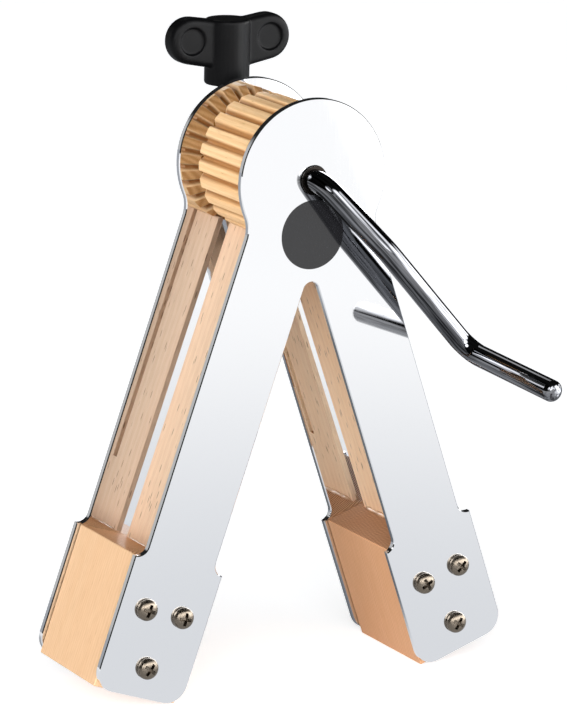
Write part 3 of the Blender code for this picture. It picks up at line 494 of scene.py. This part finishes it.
def beech(name, look):
    # Beech, planed and sealed: pale with close growth rings, fine fibre lines along the grain and the
    # short dark ray flecks of this wood; end grain drinks the sealer and goes darker, painted shade too on
    # some looks
    material, tree, shader, here = startMaterial(name)
    laid = {"Location": look["pith"], "Rotation": look["turn"]}
    along = addNode(tree, "ShaderNodeMapping", None, laid, here)
    drawn = addNode(tree, "ShaderNodeMapping", None, {"Scale": (1, 1, grain["stretch"])},
                    {"Vector": along.outputs[0]})
    rings = addNode(tree, "ShaderNodeTexWave", {"wave_type": "RINGS", "rings_direction": "Z"},
                    {"Scale": math.pi / (10 * look["ringSpacing"] * mm), "Distortion": 5.0, "Detail": 2.0,
                     "Detail Scale": 0.6}, {"Vector": drawn.outputs[0]})
    fibre = addNode(tree, "ShaderNodeTexNoise", None,
                    {"Scale": 1 / (look["fibre"] * mm), "Detail": 4.0, "Roughness": 0.6},
                    {"Vector": drawn.outputs[0]})
    broad = addNode(tree, "ShaderNodeTexNoise", None, {"Scale": 1 / grain["broad"], "Detail": 2.0},
                    {"Vector": drawn.outputs[0]})
    slim = look["fleckWidth"] / look["fleckLength"]
    short = addNode(tree, "ShaderNodeMapping", None, {"Scale": (1, 1, slim)}, {"Vector": along.outputs[0]})
    rays = addNode(tree, "ShaderNodeTexVoronoi", {"feature": "F1"},
                   {"Scale": 1 / (look["fleckSpacing"] * mm), "Randomness": 1.0},
                   {"Vector": short.outputs[0]})
    fleckShare = look["fleckWidth"] / look["fleckSpacing"]
    fleck = addNode(tree, "ShaderNodeMapRange", smoothly,
                    {"From Min": fleckShare * grain["fleckCore"], "From Max": fleckShare * grain["fleckEdge"],
                     "To Min": look["fleckDepth"], "To Max": 0.0}, {"Value": rays.outputs["Distance"]})
    base = addNode(tree, "ShaderNodeMix", colourMix,
                   {6: linear(look["pale"]), 7: linear(look["warm"])}, {0: broad.outputs["Fac"]})
    ringAmount = addNode(tree, "ShaderNodeMath", {"operation": "MULTIPLY"}, {1: look["ringDepth"]},
                         {0: rings.outputs["Fac"]})
    ringed = addNode(tree, "ShaderNodeMix", colourMix, {7: linear(look["ring"])},
                     {0: ringAmount.outputs[0], 6: base.outputs[2]})
    fibreAmount = addNode(tree, "ShaderNodeMapRange", None,
                          {"From Min": 0.45, "From Max": 0.75, "To Min": 0.0, "To Max": look["fibreDepth"]},
                          {"Value": fibre.outputs["Fac"]})
    lined = addNode(tree, "ShaderNodeMix", colourMix, {7: linear(look["dark"])},
                    {0: fibreAmount.outputs["Result"], 6: ringed.outputs[2]})
    flecked = addNode(tree, "ShaderNodeMix", colourMix, {7: linear(look["dark"])},
                      {0: fleck.outputs["Result"], 6: lined.outputs[2]})
    # End grain, and painted shade where a look starts it early: how far the face looks along the grain
    normal = addNode(tree, "ShaderNodeTexCoord").outputs["Normal"]
    facing = addNode(tree, "ShaderNodeVectorRotate", {"rotation_type": "EULER_XYZ"},
                     {"Rotation": look["turn"]}, {"Vector": normal})
    parts = addNode(tree, "ShaderNodeSeparateXYZ", links={0: facing.outputs[0]})
    size = addNode(tree, "ShaderNodeMath", {"operation": "ABSOLUTE"}, links={0: parts.outputs["Z"]})
    endGrainAndShade = addNode(tree, "ShaderNodeMapRange", smoothly,
                       {"From Min": look["endFrom"], "From Max": grain["endFull"],
                        "To Max": look["endDepth"]}, {"Value": size.outputs[0]})
    whole = addNode(tree, "ShaderNodeMix", tintMix,
                    {7: linear(look["endTone"])}, {0: endGrainAndShade.outputs["Result"], 6: flecked.outputs[2]})
    endLines = addNode(tree, "ShaderNodeMath", {"operation": "MULTIPLY"},
                       links={0: endGrainAndShade.outputs["Result"], 1: rings.outputs["Fac"]})
    cutEnd = addNode(tree, "ShaderNodeMix", tintMix,
                     {7: linear(look["endLine"])}, {0: endLines.outputs[0], 6: whole.outputs[2]})
    rough = addNode(tree, "ShaderNodeMapRange", None,
                    {"From Min": 0.3, "From Max": 0.7, "To Min": look["rough"],
                     "To Max": look["rough"] + grain["roughSpan"]}, {"Value": fibre.outputs["Fac"]})
    relief = addNode(tree, "ShaderNodeMath", {"operation": "SUBTRACT"},
                     links={0: fibre.outputs["Fac"], 1: fleck.outputs["Result"]})
    bump = addNode(tree, "ShaderNodeBump", None, {"Strength": 0.35, "Distance": 0.06 * mm},
                   {"Height": relief.outputs[0]})
    adjust(tree, shader, {"Specular IOR Level": 0.2},
           {"Base Color": cutEnd.outputs[2], "Roughness": rough.outputs["Result"], "Normal": bump.outputs[0]})
    return material


# Painted shade in the grooves: the radii it fades between, its tint, and how it narrows at the tapers
grooves = {
    "floorRadius": 28.0 * mm, "landRadius": 29.8 * mm, "tone": "b8a084",
    "straight": 18.0 * mm, "end": 25.6 * mm, "narrow": 0.8,
}


def paintGrooveShade(material):
    # Painted shade: the groove floors are tinted browner than the lands, standing in for the shade that falls
    # in them
    tree = material.node_tree
    shader = tree.nodes["Principled BSDF"]
    plain = shader.inputs["Base Color"].links[0].from_socket
    place = addNode(tree, "ShaderNodeTexCoord").outputs
    flat = addNode(tree, "ShaderNodeMapping", None,
                   {"Location": (-axle.x, 0, -axle.z), "Scale": (1, 0, 1)}, {"Vector": place["Object"]})
    spot = addNode(tree, "ShaderNodeSeparateXYZ", links={0: place["Object"]})
    offset = addNode(tree, "ShaderNodeMath", {"operation": "SUBTRACT"}, {1: axle.y}, {0: spot.outputs["Y"]})
    lengthways = addNode(tree, "ShaderNodeMath", {"operation": "ABSOLUTE"}, links={0: offset.outputs[0]})
    taper = addNode(tree, "ShaderNodeMapRange", None,
                    {"From Min": grooves["straight"], "From Max": grooves["end"],
                     "To Min": 1.0, "To Max": grooves["narrow"]}, {"Value": lengthways.outputs[0]})
    radius = addNode(tree, "ShaderNodeVectorMath", {"operation": "LENGTH"}, links={0: flat.outputs[0]})
    away = addNode(tree, "ShaderNodeMath", {"operation": "DIVIDE"},
                   links={0: radius.outputs["Value"], 1: taper.outputs["Result"]})
    depth = addNode(tree, "ShaderNodeMapRange", smoothly,
                    {"From Min": grooves["floorRadius"], "From Max": grooves["landRadius"],
                     "To Min": 1.0, "To Max": 0.0}, {"Value": away.outputs[0]})
    grooveShaded = addNode(tree, "ShaderNodeMix", tintMix,
                      {7: linear(grooves["tone"])}, {0: depth.outputs["Result"], 6: plain})
    tree.links.new(grooveShaded.outputs[2], shader.inputs["Base Color"])


def printedInk():
    # Screen-printed ink: flat charcoal with a slight tooth
    material, tree, shader, here = startMaterial("charcoalInk")
    tooth = addNode(tree, "ShaderNodeTexNoise", None, {"Scale": 1 / (0.5 * mm), "Detail": 2.0}, here)
    tone = addNode(tree, "ShaderNodeMix", colourMix, {6: linear("1a1a1c"), 7: linear("202022")},
                   {0: tooth.outputs["Fac"]})
    adjust(tree, shader, {"Roughness": 0.06}, {"Base Color": tone.outputs[2]})
    return material


def woodGlue():
    # Dried wood glue, squeezed out of the joint: clear and amber, with a wet shine
    material, tree, shader, here = startMaterial("driedWoodGlue")
    lumps = addNode(tree, "ShaderNodeTexNoise", None, {"Scale": 1 / (2.5 * mm), "Detail": 2.0}, here)
    tone = addNode(tree, "ShaderNodeMix", colourMix, {6: linear("b98d68"), 7: linear("d8b592")},
                   {0: lumps.outputs["Fac"]})
    bump = addNode(tree, "ShaderNodeBump", None, {"Strength": 0.4, "Distance": 0.4 * mm},
                   {"Height": lumps.outputs["Fac"]})
    adjust(tree, shader, {"Roughness": 0.06, "Coat Weight": 1.0},
           {"Base Color": tone.outputs[2], "Normal": bump.outputs[0]})
    return material


legLean = math.radians(19.1)
tongueLean = math.radians(19.7)
# Ring, fibre and fleck sizes are in millimetres; turn lays the grain along the piece, and pith moves
# the middle of the rings, in metres
# On the wheel the end darkening starts early and covers the tapered ends: darker end grain, and painted shade
# by the plates
wheelLook = {
    "pale": "ffdcac", "warm": "fbcd96", "ring": "dfa564", "dark": "b07c48",
    "endTone": "f0cb8e", "endLine": "e0cdb8", "endDepth": 1.0, "endFrom": 0.2, "rough": 0.42,
    "ringSpacing": 2.6, "ringDepth": 0.30, "fibre": 0.5, "fibreDepth": 0.28,
    "fleckWidth": 0.25, "fleckLength": 1.6, "fleckSpacing": 2.2, "fleckDepth": 0.35,
    "turn": (math.pi / 2, 0, 0), "pith": (0.041, 0.20, 0.012),
}
blockLook = {
    "pale": "f2cca4", "warm": "ecbf92", "ring": "d5a475", "dark": "b98458",
    "endTone": "fff4e4", "endLine": "c8b098", "endDepth": 1.0, "endFrom": 0.75, "rough": 0.45,
    "ringSpacing": 1.3, "ringDepth": 0.22, "fibre": 0.40, "fibreDepth": 0.28,
    "fleckWidth": 0.25, "fleckLength": 1.5, "fleckSpacing": 2.0, "fleckDepth": 0.28,
    "turn": (0, -legLean, 0), "pith": (0.055, 0.030, 0),
}
# Painted shade: the right block's beech is a darker, redder copy, end grain too; its stronger rings are real
# grain
shadedRightBlockLook = dict(blockLook, pale="e9b890", warm="e1ab80", ring="bd8458", ringDepth=0.5,
                      endTone="e6e6e6", endLine="9c8878", turn=(0, legLean, 0), pith=(-0.030, 0.060, 0))
tongueLook = {
    "pale": "f0d2b4", "warm": "e6c2a2", "ring": "d8ae8c", "dark": "7d5a40",
    "endTone": "b58f70", "endLine": "b89878", "endDepth": 0.8, "endFrom": 0.75, "rough": 0.5,
    "ringSpacing": 4.0, "ringDepth": 0.25, "fibre": 0.5, "fibreDepth": 0.22,
    "fleckWidth": 0.40, "fleckLength": 2.6, "fleckSpacing": 1.8, "fleckDepth": 0.70,
    "turn": (0, -tongueLean, 0), "pith": (0.070, 0.012, 0),
}
# Painted light: the right tongue's beech is a paler copy of the left's, for the light its inner face misses
litRightTongueLook = dict(tongueLook, pale="ffe2c0", warm="fad4ae", ring="ecbf96",
                       turn=(0, tongueLean, 0), pith=(-0.080, 0.025, 0))
steel = polishedSteel()
chrome, nickel, bronze, casting = (platedMetal(name) for name in metals)
paintReflectionStreaks(chrome)
nylon = blackPlastic()
ink = printedInk()
glue = woodGlue()
wheelWood = beech("beechWheel", wheelLook)
paintGrooveShade(wheelWood)
blockWoods = {"left": beech("beechLeftBlock", blockLook), "right": beech("beechRightBlockShaded", shadedRightBlockLook)}
tongueWoods = {"left": beech("beechLeftTongue", tongueLook),
               "right": beech("beechRightTongueLit", litRightTongueLook)}
print("materials:", len(bpy.data.materials))


# Woods with eased edges; plates, bushes, pin and clamp screws with smooth rounds

blockEdge = {"width": 0.14 * mm, "segments": 2, "angle": 30}
tongueEdge = {"width": 0.25 * mm, "segments": 2, "angle": 30}


def easedNode(nodeName, pieceName, body, material, edge):
    sharp = keepObject(pieceName + "Sharp", meshOf(mergedCopy(nodeName), pieceName + "Sharp", edge["angle"]))
    bevel = sharp.modifiers.new("easedEdge", "BEVEL")
    bevel.width = edge["width"]
    bevel.segments = edge["segments"]
    bevel.limit_method = "ANGLE"
    bevel.angle_limit = math.radians(edge["angle"])
    bevel.harden_normals = True
    dress(keepObject(pieceName, bakedMesh(sharp)), body, material, [nodeName])


def smoothNode(nodeName, pieceName, body, material):
    item = keepObject(pieceName, meshOf(mergedCopy(nodeName), pieceName))
    dress(item, body, material, [nodeName])


for side in ("front", "rear"):
    smoothNode(side + "_plate", side + "PlateSheet", "frame", steel)
    smoothNode(side + "_bush", side + "BushSleeve", "frame", bronze)
for side in ("left", "right"):
    easedNode(side + "_block", side + "FootBlock", "frame", blockWoods[side], blockEdge)
    easedNode(side + "_tongue", side + "SlitTongue", "frame", tongueWoods[side], tongueEdge)
    smoothNode("clamp_screw_" + side, side + "ClampScrew", "frame", nickel)
smoothNode("wheel_pin", "wheelPin", "crank", nickel)
print("plates, blocks, tongues, bushes, pin and clamp screws")


# Wheel: one rule round the rim makes the teeth and the scooped grooves

wheel = {
    "Teeth": 24,
    "Steps": 36,                     # points round each tooth
    "Tip Radius": 30.0 * mm,
    "Taper Length": 7.6 * mm,
    "Taper Depth": 6.0 * mm,
    "Groove Width": 3.6 * mm,
    "Groove Floor": 1.4 * mm,
    "Groove Depth": 2.1 * mm,
    "Floor Round": 1.0 * mm,
    "Lip Round": 0.8 * mm,
    "Length": 51.2 * mm,
    "Bore Radius": 5.05 * mm,
    "Bore Length": 56.32 * mm,       # the cutter stands out at both ends
    "Seat Radius": 10.3 * mm,
    "Seat Depth": 0.9 * mm,
    "Pin Radius": 2.3 * mm,
    "Pin Length": 48.0 * mm,
    "Pin Offset": 6.6 * mm,
    "Hole Sides": 48,
}
wheelSmooth = 28                     # degrees

# The rule for each point of a drum of radius 1, row by row: a new value, the operation and its terms
toothRule = (
    ("count", "MULTIPLY", "Teeth", "Steps"),
    # Along the rim, from the middle of the nearest groove
    ("angle", "ARCTAN2", "Y", "X"),
    ("turns", "DIVIDE", "angle", 2 * math.pi),
    ("teethPassed", "MULTIPLY", "turns", "Teeth"),
    ("shifted", "ADD", "teethPassed", 0.5),
    ("phase", "FRACT", "shifted"),
    ("fromLand", "SUBTRACT", "phase", 0.5),
    ("offLand", "ABSOLUTE", "fromLand"),
    ("turn", "SUBTRACT", 0.5, "offLand"),
    ("rim", "MULTIPLY", "Tip Radius", 2 * math.pi),
    ("pitch", "DIVIDE", "rim", "Teeth"),
    ("away", "MULTIPLY", "turn", "pitch"),
    # Flanks, scooped floor and rounded lips
    ("halfWidth", "MULTIPLY", "Groove Width", 0.5),
    ("halfFloor", "MULTIPLY", "Groove Floor", 0.5),
    ("flank", "SUBTRACT", "halfWidth", "halfFloor"),
    ("slope", "DIVIDE", "Groove Depth", "flank"),
    ("inside", "SUBTRACT", "halfWidth", "away"),
    ("cut", "MULTIPLY", "inside", "slope"),
    ("scooped", "SMOOTH_MIN", "cut", "Groove Depth", "Floor Round"),
    ("rounded", "SMOOTH_MAX", "scooped", 0.0, "Lip Round"),
    ("radius", "SUBTRACT", "Tip Radius", "rounded"),
    # The two middle rings end the straight teeth, and the outer two are drawn in
    ("halfLength", "MULTIPLY", "Length", 0.5),
    ("quarter", "MULTIPLY", "halfLength", 0.5),
    ("height", "ABSOLUTE", "Z"),
    ("inner", "LESS_THAN", "height", "quarter"),
    ("setBack", "MULTIPLY", "inner", "Taper Length"),
    ("reach", "SUBTRACT", "halfLength", "setBack"),
    ("outer", "SUBTRACT", 1.0, "inner"),
    ("taper", "DIVIDE", "Taper Depth", "Tip Radius"),
    ("drawnIn", "MULTIPLY", "outer", "taper"),
    ("kept", "SUBTRACT", 1.0, "drawnIn"),
    ("span", "MULTIPLY", "radius", "kept"),
    # The drum is laid along the axle
    ("newX", "MULTIPLY", "X", "span"),
    ("end", "SIGN", "Z"),
    ("back", "MULTIPLY", "reach", -1.0),
    ("newY", "MULTIPLY", "end", "back"),
    ("newZ", "MULTIPLY", "Y", "span"),
    # The seats of the two bushes
    ("seatSpan", "MULTIPLY", "Seat Depth", 2.0),
    ("farSeat", "MULTIPLY", "halfLength", -1.0),
)


def makeWheel():
    kinds = {name: "NodeSocketFloat" for name in wheel}
    kinds.update({name: "NodeSocketInt" for name, value in wheel.items() if isinstance(value, int)})
    kinds.update({"Centre": "NodeSocketVector", "Wood": "NodeSocketMaterial"})
    tree, ids, given = startTree("toothedWheel", kinds)
    position = addNode(tree, "GeometryNodeInputPosition")
    spot = addNode(tree, "ShaderNodeSeparateXYZ", links={0: position.outputs[0]})
    known = {socket.name: socket for socket in (*given, *spot.outputs)}
    for name, operation, *terms in toothRule:
        numbers = {i: term for i, term in enumerate(terms) if not isinstance(term, str)}
        links = {i: known[term] for i, term in enumerate(terms) if isinstance(term, str)}
        known[name] = addNode(tree, "ShaderNodeMath", {"operation": operation}, numbers, links).outputs[0]
    drum = addNode(tree, "GeometryNodeMeshCylinder", {"fill_type": "NGON"},
                   {"Radius": 1.0, "Side Segments": 3},
                   {"Vertices": known["count"], "Depth": known["Length"]})
    moved = addNode(tree, "ShaderNodeCombineXYZ", links={axis: known["new" + axis] for axis in "XYZ"})
    solid = addNode(tree, "GeometryNodeSetPosition",
                    links={"Geometry": drum.outputs["Mesh"], "Position": moved.outputs[0]})
    carved = addNode(tree, "GeometryNodeMeshBoolean", {"operation": "DIFFERENCE", "solver": "EXACT"},
                     links={"Mesh 1": solid.outputs[0]})
    lengthways = (math.pi / 2, 0, 0)
    crossways = (0, math.pi / 2, 0)
    holes = (
        ("Bore Radius", "Bore Length", lengthways, {}),
        ("Seat Radius", "seatSpan", lengthways, {"Y": known["halfLength"]}),
        ("Seat Radius", "seatSpan", lengthways, {"Y": known["farSeat"]}),
        ("Pin Radius", "Pin Length", crossways, {"X": known["Pin Offset"]}),
    )
    for radius, depth, turn, shift in holes:
        cutter = addNode(tree, "GeometryNodeMeshCylinder",
                         links={"Vertices": known["Hole Sides"], "Radius": known[radius],
                                "Depth": known[depth]})
        offset = addNode(tree, "ShaderNodeCombineXYZ", links=shift)
        laid = addNode(tree, "GeometryNodeTransform", None, {"Rotation": turn},
                       {"Geometry": cutter.outputs["Mesh"], "Translation": offset.outputs[0]})
        tree.links.new(laid.outputs[0], carved.inputs["Mesh 2"])
    placed = addNode(tree, "GeometryNodeTransform",
                     links={"Geometry": carved.outputs["Mesh"], "Translation": given["Centre"]})
    endTree(tree, placed.outputs[0], given["Wood"])

    blank = keepObject("wheelBlank", bpy.data.meshes.new("wheelBlank"))
    bm = bmesh.new()
    bm.from_mesh(runTree(blank, tree, ids, dict(wheel, Centre=axle, Wood=wheelWood)))
    bmesh.ops.remove_doubles(bm, verts=bm.verts, dist=weld["reach"])
    bmesh.ops.recalc_face_normals(bm, faces=bm.faces)
    item = keepObject("toothedWheel", meshOf(bm, "toothedWheel", wheelSmooth))
    dress(item, "crank", wheelWood, ["ratchet_wheel"])


makeWheel()
print("wheel:", wheel["Teeth"], "teeth")


# Crank: one chromed bar, bent three times

crank = {
    "barRadius": 4.75 * mm,
    "angle": math.radians(-48.5),
    "neckStandoff": 8.5 * mm,
    "armStandoff": 18.5 * mm,
    "rampReach": 40.0 * mm,
    "throw": 103.1 * mm,
    "grip": 63.98 * mm,              # a hair short, to keep the round end inside the solid's box
    "splay": math.radians(5.5),
    "bends": (8.5 * mm, 30.0 * mm, 10.0 * mm),
    "endRound": 3.0 * mm,
    "axleBack": 30.0 * mm,           # behind the middle of the wheel
    "axleChamfer": 0.8 * mm,
    "sides": 48,
    "bendSteps": 20,
    "roundSteps": 10,
    "smoothAngle": 40,
}


def crankLine():
    front = frontFace - axle.y
    armDepth = front - crank["armStandoff"]
    tip = Vector((math.sin(crank["splay"]), -math.cos(crank["splay"]))) * crank["grip"]
    elbow = Vector((crank["throw"], armDepth))
    corners = [Vector((0, crank["axleBack"])), Vector((0, front - crank["neckStandoff"])),
               Vector((crank["rampReach"], armDepth)), elbow, elbow + tip]
    line = [(corners[0], (corners[1] - corners[0]).normalized())]
    for i, radius in enumerate(crank["bends"], start=1):
        coming = (corners[i] - corners[i - 1]).normalized()
        going = (corners[i + 1] - corners[i]).normalized()
        sweep = coming.angle_signed(going)
        lead = radius * math.tan(abs(sweep) / 2)
        for step in range(crank["bendSteps"] + 1):
            turned = sweep * step / crank["bendSteps"]
            heading = Matrix.Rotation(-turned, 2) @ coming
            chord = 2 * radius * math.sin(abs(turned) / 2)
            middle = Matrix.Rotation(-turned / 2, 2) @ coming
            line.append((corners[i] - coming * lead + middle * chord, heading))
    line.append((corners[-1], line[-1][1]))
    return line


def makeCrank():
    line = crankLine()
    bar, chamfer = crank["barRadius"], crank["axleChamfer"]
    start, heading = line[0]
    sections = [(start, heading, bar - chamfer), (start + heading * chamfer, heading, bar)]
    sections += [(spot, way, bar) for spot, way in line[1:-1]]
    tip, heading = line[-1]
    for step in range(crank["roundSteps"] + 1):
        angle = math.pi / 2 * step / crank["roundSteps"]
        spot = tip - heading * crank["endRound"] * (1 - math.sin(angle))
        sections.append((spot, heading, bar - crank["endRound"] * (1 - math.cos(angle))))
    outward = Vector((math.cos(crank["angle"]), 0, math.sin(crank["angle"])))
    depth = Vector((0, 1, 0))
    sideways = outward.cross(depth)
    rings = []
    ways = []
    travelled = 0.0
    before = start
    for spot, heading, radius in sections:
        middle = axle + outward * spot.x + depth * spot.y
        across = depth * heading.x - outward * heading.y
        travelled += (spot - before).length
        before = spot
        around = ringPoints(radius, crank["sides"])
        rings.append([middle + across * u + sideways * v for u, v in around])
        ways += [(u, v, travelled) for u, v in around]  # metres across the bar and along it
    item = tubeObject("bentCrank", rings, crank["smoothAngle"])
    addVectors(item.data, "barWay", ways)
    dress(item, "crank", chrome, ["crank"])


makeCrank()
print("crank: three bends and a rounded grip")


# Plate screws: one pan head with a cross recess, set at every place by a node tree

screw = {
    "headRadius": 4.75 * mm,
    "headHeight": 3.4 * mm,
    "rim": 0.9 * mm,
    "rimEdge": 0.25 * mm,
    "domeSteps": 12,
    "domePower": 0.62,               # below 1 the dome is fuller than a round one
    "crownRadius": 0.01 * mm,
    "shankRadius": 2.3 * mm,
    "length": 22.0 * mm,
    "point": 4.0 * mm,
    "pointRadius": 0.0004 * mm,
    "recessSpan": 3.0 * mm,          # half of it, from the middle
    "recessWidth": 0.75 * mm,        # half of it
    "recessDepth": 2.3 * mm,
    "recessLift": 0.3 * mm,          # how far the cutter stands out of the head
    "recessTop": 1.12,               # shares of the span at the cutter's top and bottom
    "recessBottom": 0.42,
    "recessFlare": 0.35,             # how much of the width follows that share
    "sides": 56,
    "smoothAngle": 35,
    "scale": 1.0,
}
# How far the driver slots of each foot's outer, inner and lower screw are turned, in degrees
slotTurns = {"front_left": (22, 14, 38), "front_right": (40, 58, 30),
             "rear_left": (8, 51, 27), "rear_right": (66, 19, 43)}
screwTurns = {foot + "_screw_" + spot: turn for foot, turns in slotTurns.items()
              for spot, turn in zip(("outer", "inner", "lower"), turns)}


def screwPattern():
    # A screw with its head towards -Y and the head's seat at the origin
    full, edge = screw["headRadius"], screw["rimEdge"]
    profile = [(screw["pointRadius"], -screw["length"]),
               (screw["shankRadius"], screw["point"] - screw["length"]), (screw["shankRadius"], 0),
               (full - edge, 0), (full, edge), (full, screw["rim"])]
    for step in range(1, screw["domeSteps"] + 1):
        angle = math.pi / 2 * step / screw["domeSteps"]
        radius = full * max(math.cos(angle), 0.0) ** screw["domePower"]
        rise = screw["rim"] + (screw["headHeight"] - screw["rim"]) * math.sin(angle)
        profile.append((max(radius, screw["crownRadius"]), rise))
    rings = [[(u, -rise, v) for u, v in ringPoints(radius, screw["sides"])] for radius, rise in profile]
    head = tubeObject("screwHead", rings, screw["smoothAngle"])
    # The driver's recess: a cross that narrows as it goes in
    levels = []
    top = (screw["recessTop"], screw["headHeight"] + screw["recessLift"])
    bottom = (screw["recessBottom"], screw["headHeight"] - screw["recessDepth"])
    for share, rise in (top, bottom):
        reach = screw["recessSpan"] * share
        half = screw["recessWidth"] * (1 - screw["recessFlare"] + screw["recessFlare"] * share)
        quarter = [(reach, -half), (reach, half), (half, half)]
        loop = []
        for turn in range(4):
            c, s = round(math.cos(turn * math.pi / 2)), round(math.sin(turn * math.pi / 2))
            loop += [(u * c - v * s, u * s + v * c) for u, v in quarter]
        levels.append([(u, -rise, v) for u, v in loop])
    recess = tubeObject("screwRecess", levels)
    cut = head.modifiers.new("recess", "BOOLEAN")
    cut.object = recess
    mesh = bakedMesh(head, recess)
    return keepObject("screwPattern", smoothShade(mesh, screw["smoothAngle"]))


def makeScrews():
    kinds = {"Screw": "NodeSocketObject", "Size": "NodeSocketFloat", "Metal": "NodeSocketMaterial"}
    tree, ids, given = startTree("screwSetter", kinds)
    shape = addNode(tree, "GeometryNodeObjectInfo", {"transform_space": "ORIGINAL"},
                    links={"Object": given["Screw"]})
    facing = addNode(tree, "GeometryNodeInputNamedAttribute", {"data_type": "FLOAT_VECTOR"},
                     {"Name": "facing"})
    turned = addNode(tree, "FunctionNodeEulerToRotation", links={0: facing.outputs[0]})
    copies = addNode(tree, "GeometryNodeInstanceOnPoints",
                     links={"Points": given["Geometry"], "Instance": shape.outputs["Geometry"],
                            "Rotation": turned.outputs[0], "Scale": given["Size"]})
    endTree(tree, copies.outputs[0], given["Metal"])

    spots = []
    facings = []
    for nodeName, turn in screwTurns.items():
        low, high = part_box(nodeName)
        middle = (low + high) / 2
        back = 0 if nodeName.startswith("front") else math.pi
        seat = low.y + screw["headHeight"] if back == 0 else high.y - screw["headHeight"]
        spots.append((middle.x, seat, middle.z))
        facings.append((0, math.radians(turn), back))
    mesh = bpy.data.meshes.new("screwSpots")
    mesh.from_pydata(spots, [], [])
    addVectors(mesh, "facing", facings)
    pattern = screwPattern()
    holder = keepObject("screwSpots", mesh)
    values = {"Screw": pattern, "Size": screw["scale"], "Metal": nickel}
    item = keepObject("plateScrews", runTree(holder, tree, ids, values, pattern))
    dress(item, "frame", nickel, list(screwTurns))


makeScrews()
print("screws:", len(screwTurns))


# Rod clamp and wing handle with soft edges, and the threaded stud

cast = {"voxel": 0.45 * mm, "smoothing": 4, "factor": 0.5, "smoothAngle": 60}
moulded = {"voxel": 0.38 * mm, "smoothing": 8, "factor": 0.5, "smoothAngle": 60}


def softenedNode(nodeName, pieceName, body, material, form):
    item = keepObject(pieceName, meshOf(mergedCopy(nodeName), pieceName))
    remesh = item.modifiers.new("remesh", "REMESH")
    remesh.mode = "VOXEL"
    remesh.voxel_size = form["voxel"]
    smooth = item.modifiers.new("smooth", "SMOOTH")
    smooth.factor = form["factor"]
    smooth.iterations = form["smoothing"]
    mesh = bakedMesh(item)
    # The softened form stays inside the solid's box
    low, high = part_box(nodeName)
    for vertex in mesh.vertices:
        vertex.co = [min(max(value, least), most) for value, least, most in zip(vertex.co, low, high)]
    piece = keepObject(pieceName, smoothShade(mesh, form["smoothAngle"]))
    dress(piece, body, material, [nodeName])


softenedNode("rod_clamp", "rodClamp", "frame", casting, cast)
softenedNode("wing_handle", "wingHandle", "handle", nylon, moulded)

stud = {
    "pitch": 1.25 * mm, "outer": 4.0 * mm, "root": 3.35 * mm,
    "crestFlat": 1.25,               # above 1, the crests are cut flat
    "stepsRound": 32, "stepsPitch": 8, "smoothAngle": 50,
}


def makeStud():
    low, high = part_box("clamp_stud")
    rows = int((high.z - low.z) / stud["pitch"] * stud["stepsPitch"])
    rings = []
    for row in range(rows + 1):
        height = low.z + (high.z - low.z) * row / rows
        # The thread runs out over one pitch at each end
        runOut = min(1.0, (height - low.z) / stud["pitch"], (high.z - height) / stud["pitch"])
        ring = []
        for step in range(stud["stepsRound"]):
            turn = step / stud["stepsRound"]
            phase = ((height - low.z) / stud["pitch"] - turn) % 1.0
            crest = min(1.0, stud["crestFlat"] * (1 - abs(2 * phase - 1)))
            radius = stud["root"] + (stud["outer"] - stud["root"]) * crest * runOut
            angle = 2 * math.pi * turn
            u, v = radius * math.cos(angle), radius * math.sin(angle)
            ring.append((wingAxis.x + u, wingAxis.y + v, height))
        rings.append(ring)
    item = tubeObject("threadedStud", rings, stud["smoothAngle"])
    dress(item, "stud", nickel, ["clamp_stud"])


makeStud()
print("clamp, wing handle and stud")


# A plain printed disc on the front plate, and the dried glue at the tongues' roots

disc = {"radius": 15.0 * mm, "drop": 23.7 * mm, "lift": 0.03 * mm, "thick": 0.04 * mm, "sides": 128}


def makeDisc():
    around = ringPoints(disc["radius"], disc["sides"])
    rings = [[(axle.x + u, frontFace - depth, axle.z - disc["drop"] + v) for u, v in around]
             for depth in (disc["lift"], disc["lift"] + disc["thick"])]
    dress(tubeObject("printedDisc", rings), "frame", ink)


makeDisc()

bead = {
    "size": {"left": 0.6 * mm, "right": 1.3 * mm},
    "vary": 0.5,
    "lumpsPerMetre": 180,
    "faceSeed": 3.1,
    "sideSeed": 7.7,
    "endShare": 0.125,               # of the length, where the bead thins out
    "least": 0.05 * mm,
    "fullness": 0.75,
    "lift": 0.25,
    "inset": 1.5 * mm,
    "halfTongue": 1.3 * mm,
    "along": 174.0 * mm,             # from the axle down the leg
    "across": 3.2 * mm,              # from the leg's middle line
    "steps": 60,
    "sides": 12,
    "smoothAngle": 60,
}


def makeGlue(side):
    sign = -1 if side == "left" else 1
    low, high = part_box(side + "_tongue")
    lean = tongueLean * sign
    up = Vector((-math.sin(lean), 0, math.cos(lean)))
    out = Vector((math.cos(lean), 0, math.sin(lean)))
    # Where the tongue goes into the top of its block
    along, across = bead["along"], bead["across"]
    root = axle + Vector((sign * (along * math.sin(legLean) + across * math.cos(legLean)), 0,
                          across * math.sin(legLean) - along * math.cos(legLean)))
    for face, label in ((-1, "Inner"), (1, "Outer")):
        rings = []
        for step in range(bead["steps"] + 1):
            share = step / bead["steps"]
            depth = low.y + bead["inset"] + (high.y - low.y - 2 * bead["inset"]) * share
            lump = noise.noise(Vector((depth * bead["lumpsPerMetre"], face * bead["faceSeed"],
                                       sign * bead["sideSeed"])))
            taper = math.sqrt(min(1.0, share / bead["endShare"], (1 - share) / bead["endShare"]))
            size = bead["size"][side] * (1 + bead["vary"] * lump) * taper
            lift = bead["lift"] * size
            spot = root + out * face * sign * (bead["halfTongue"] + lift) + up * lift
            spot.y = depth
            radius = max(size, bead["least"]) * bead["fullness"]
            rings.append([spot + out * u + up * v for u, v in ringPoints(radius, bead["sides"])])
        item = tubeObject(side + "Glue" + label, rings, bead["smoothAngle"])
        dress(item, "frame", glue)


for side in ("left", "right"):
    makeGlue(side)
print("disc and glue")
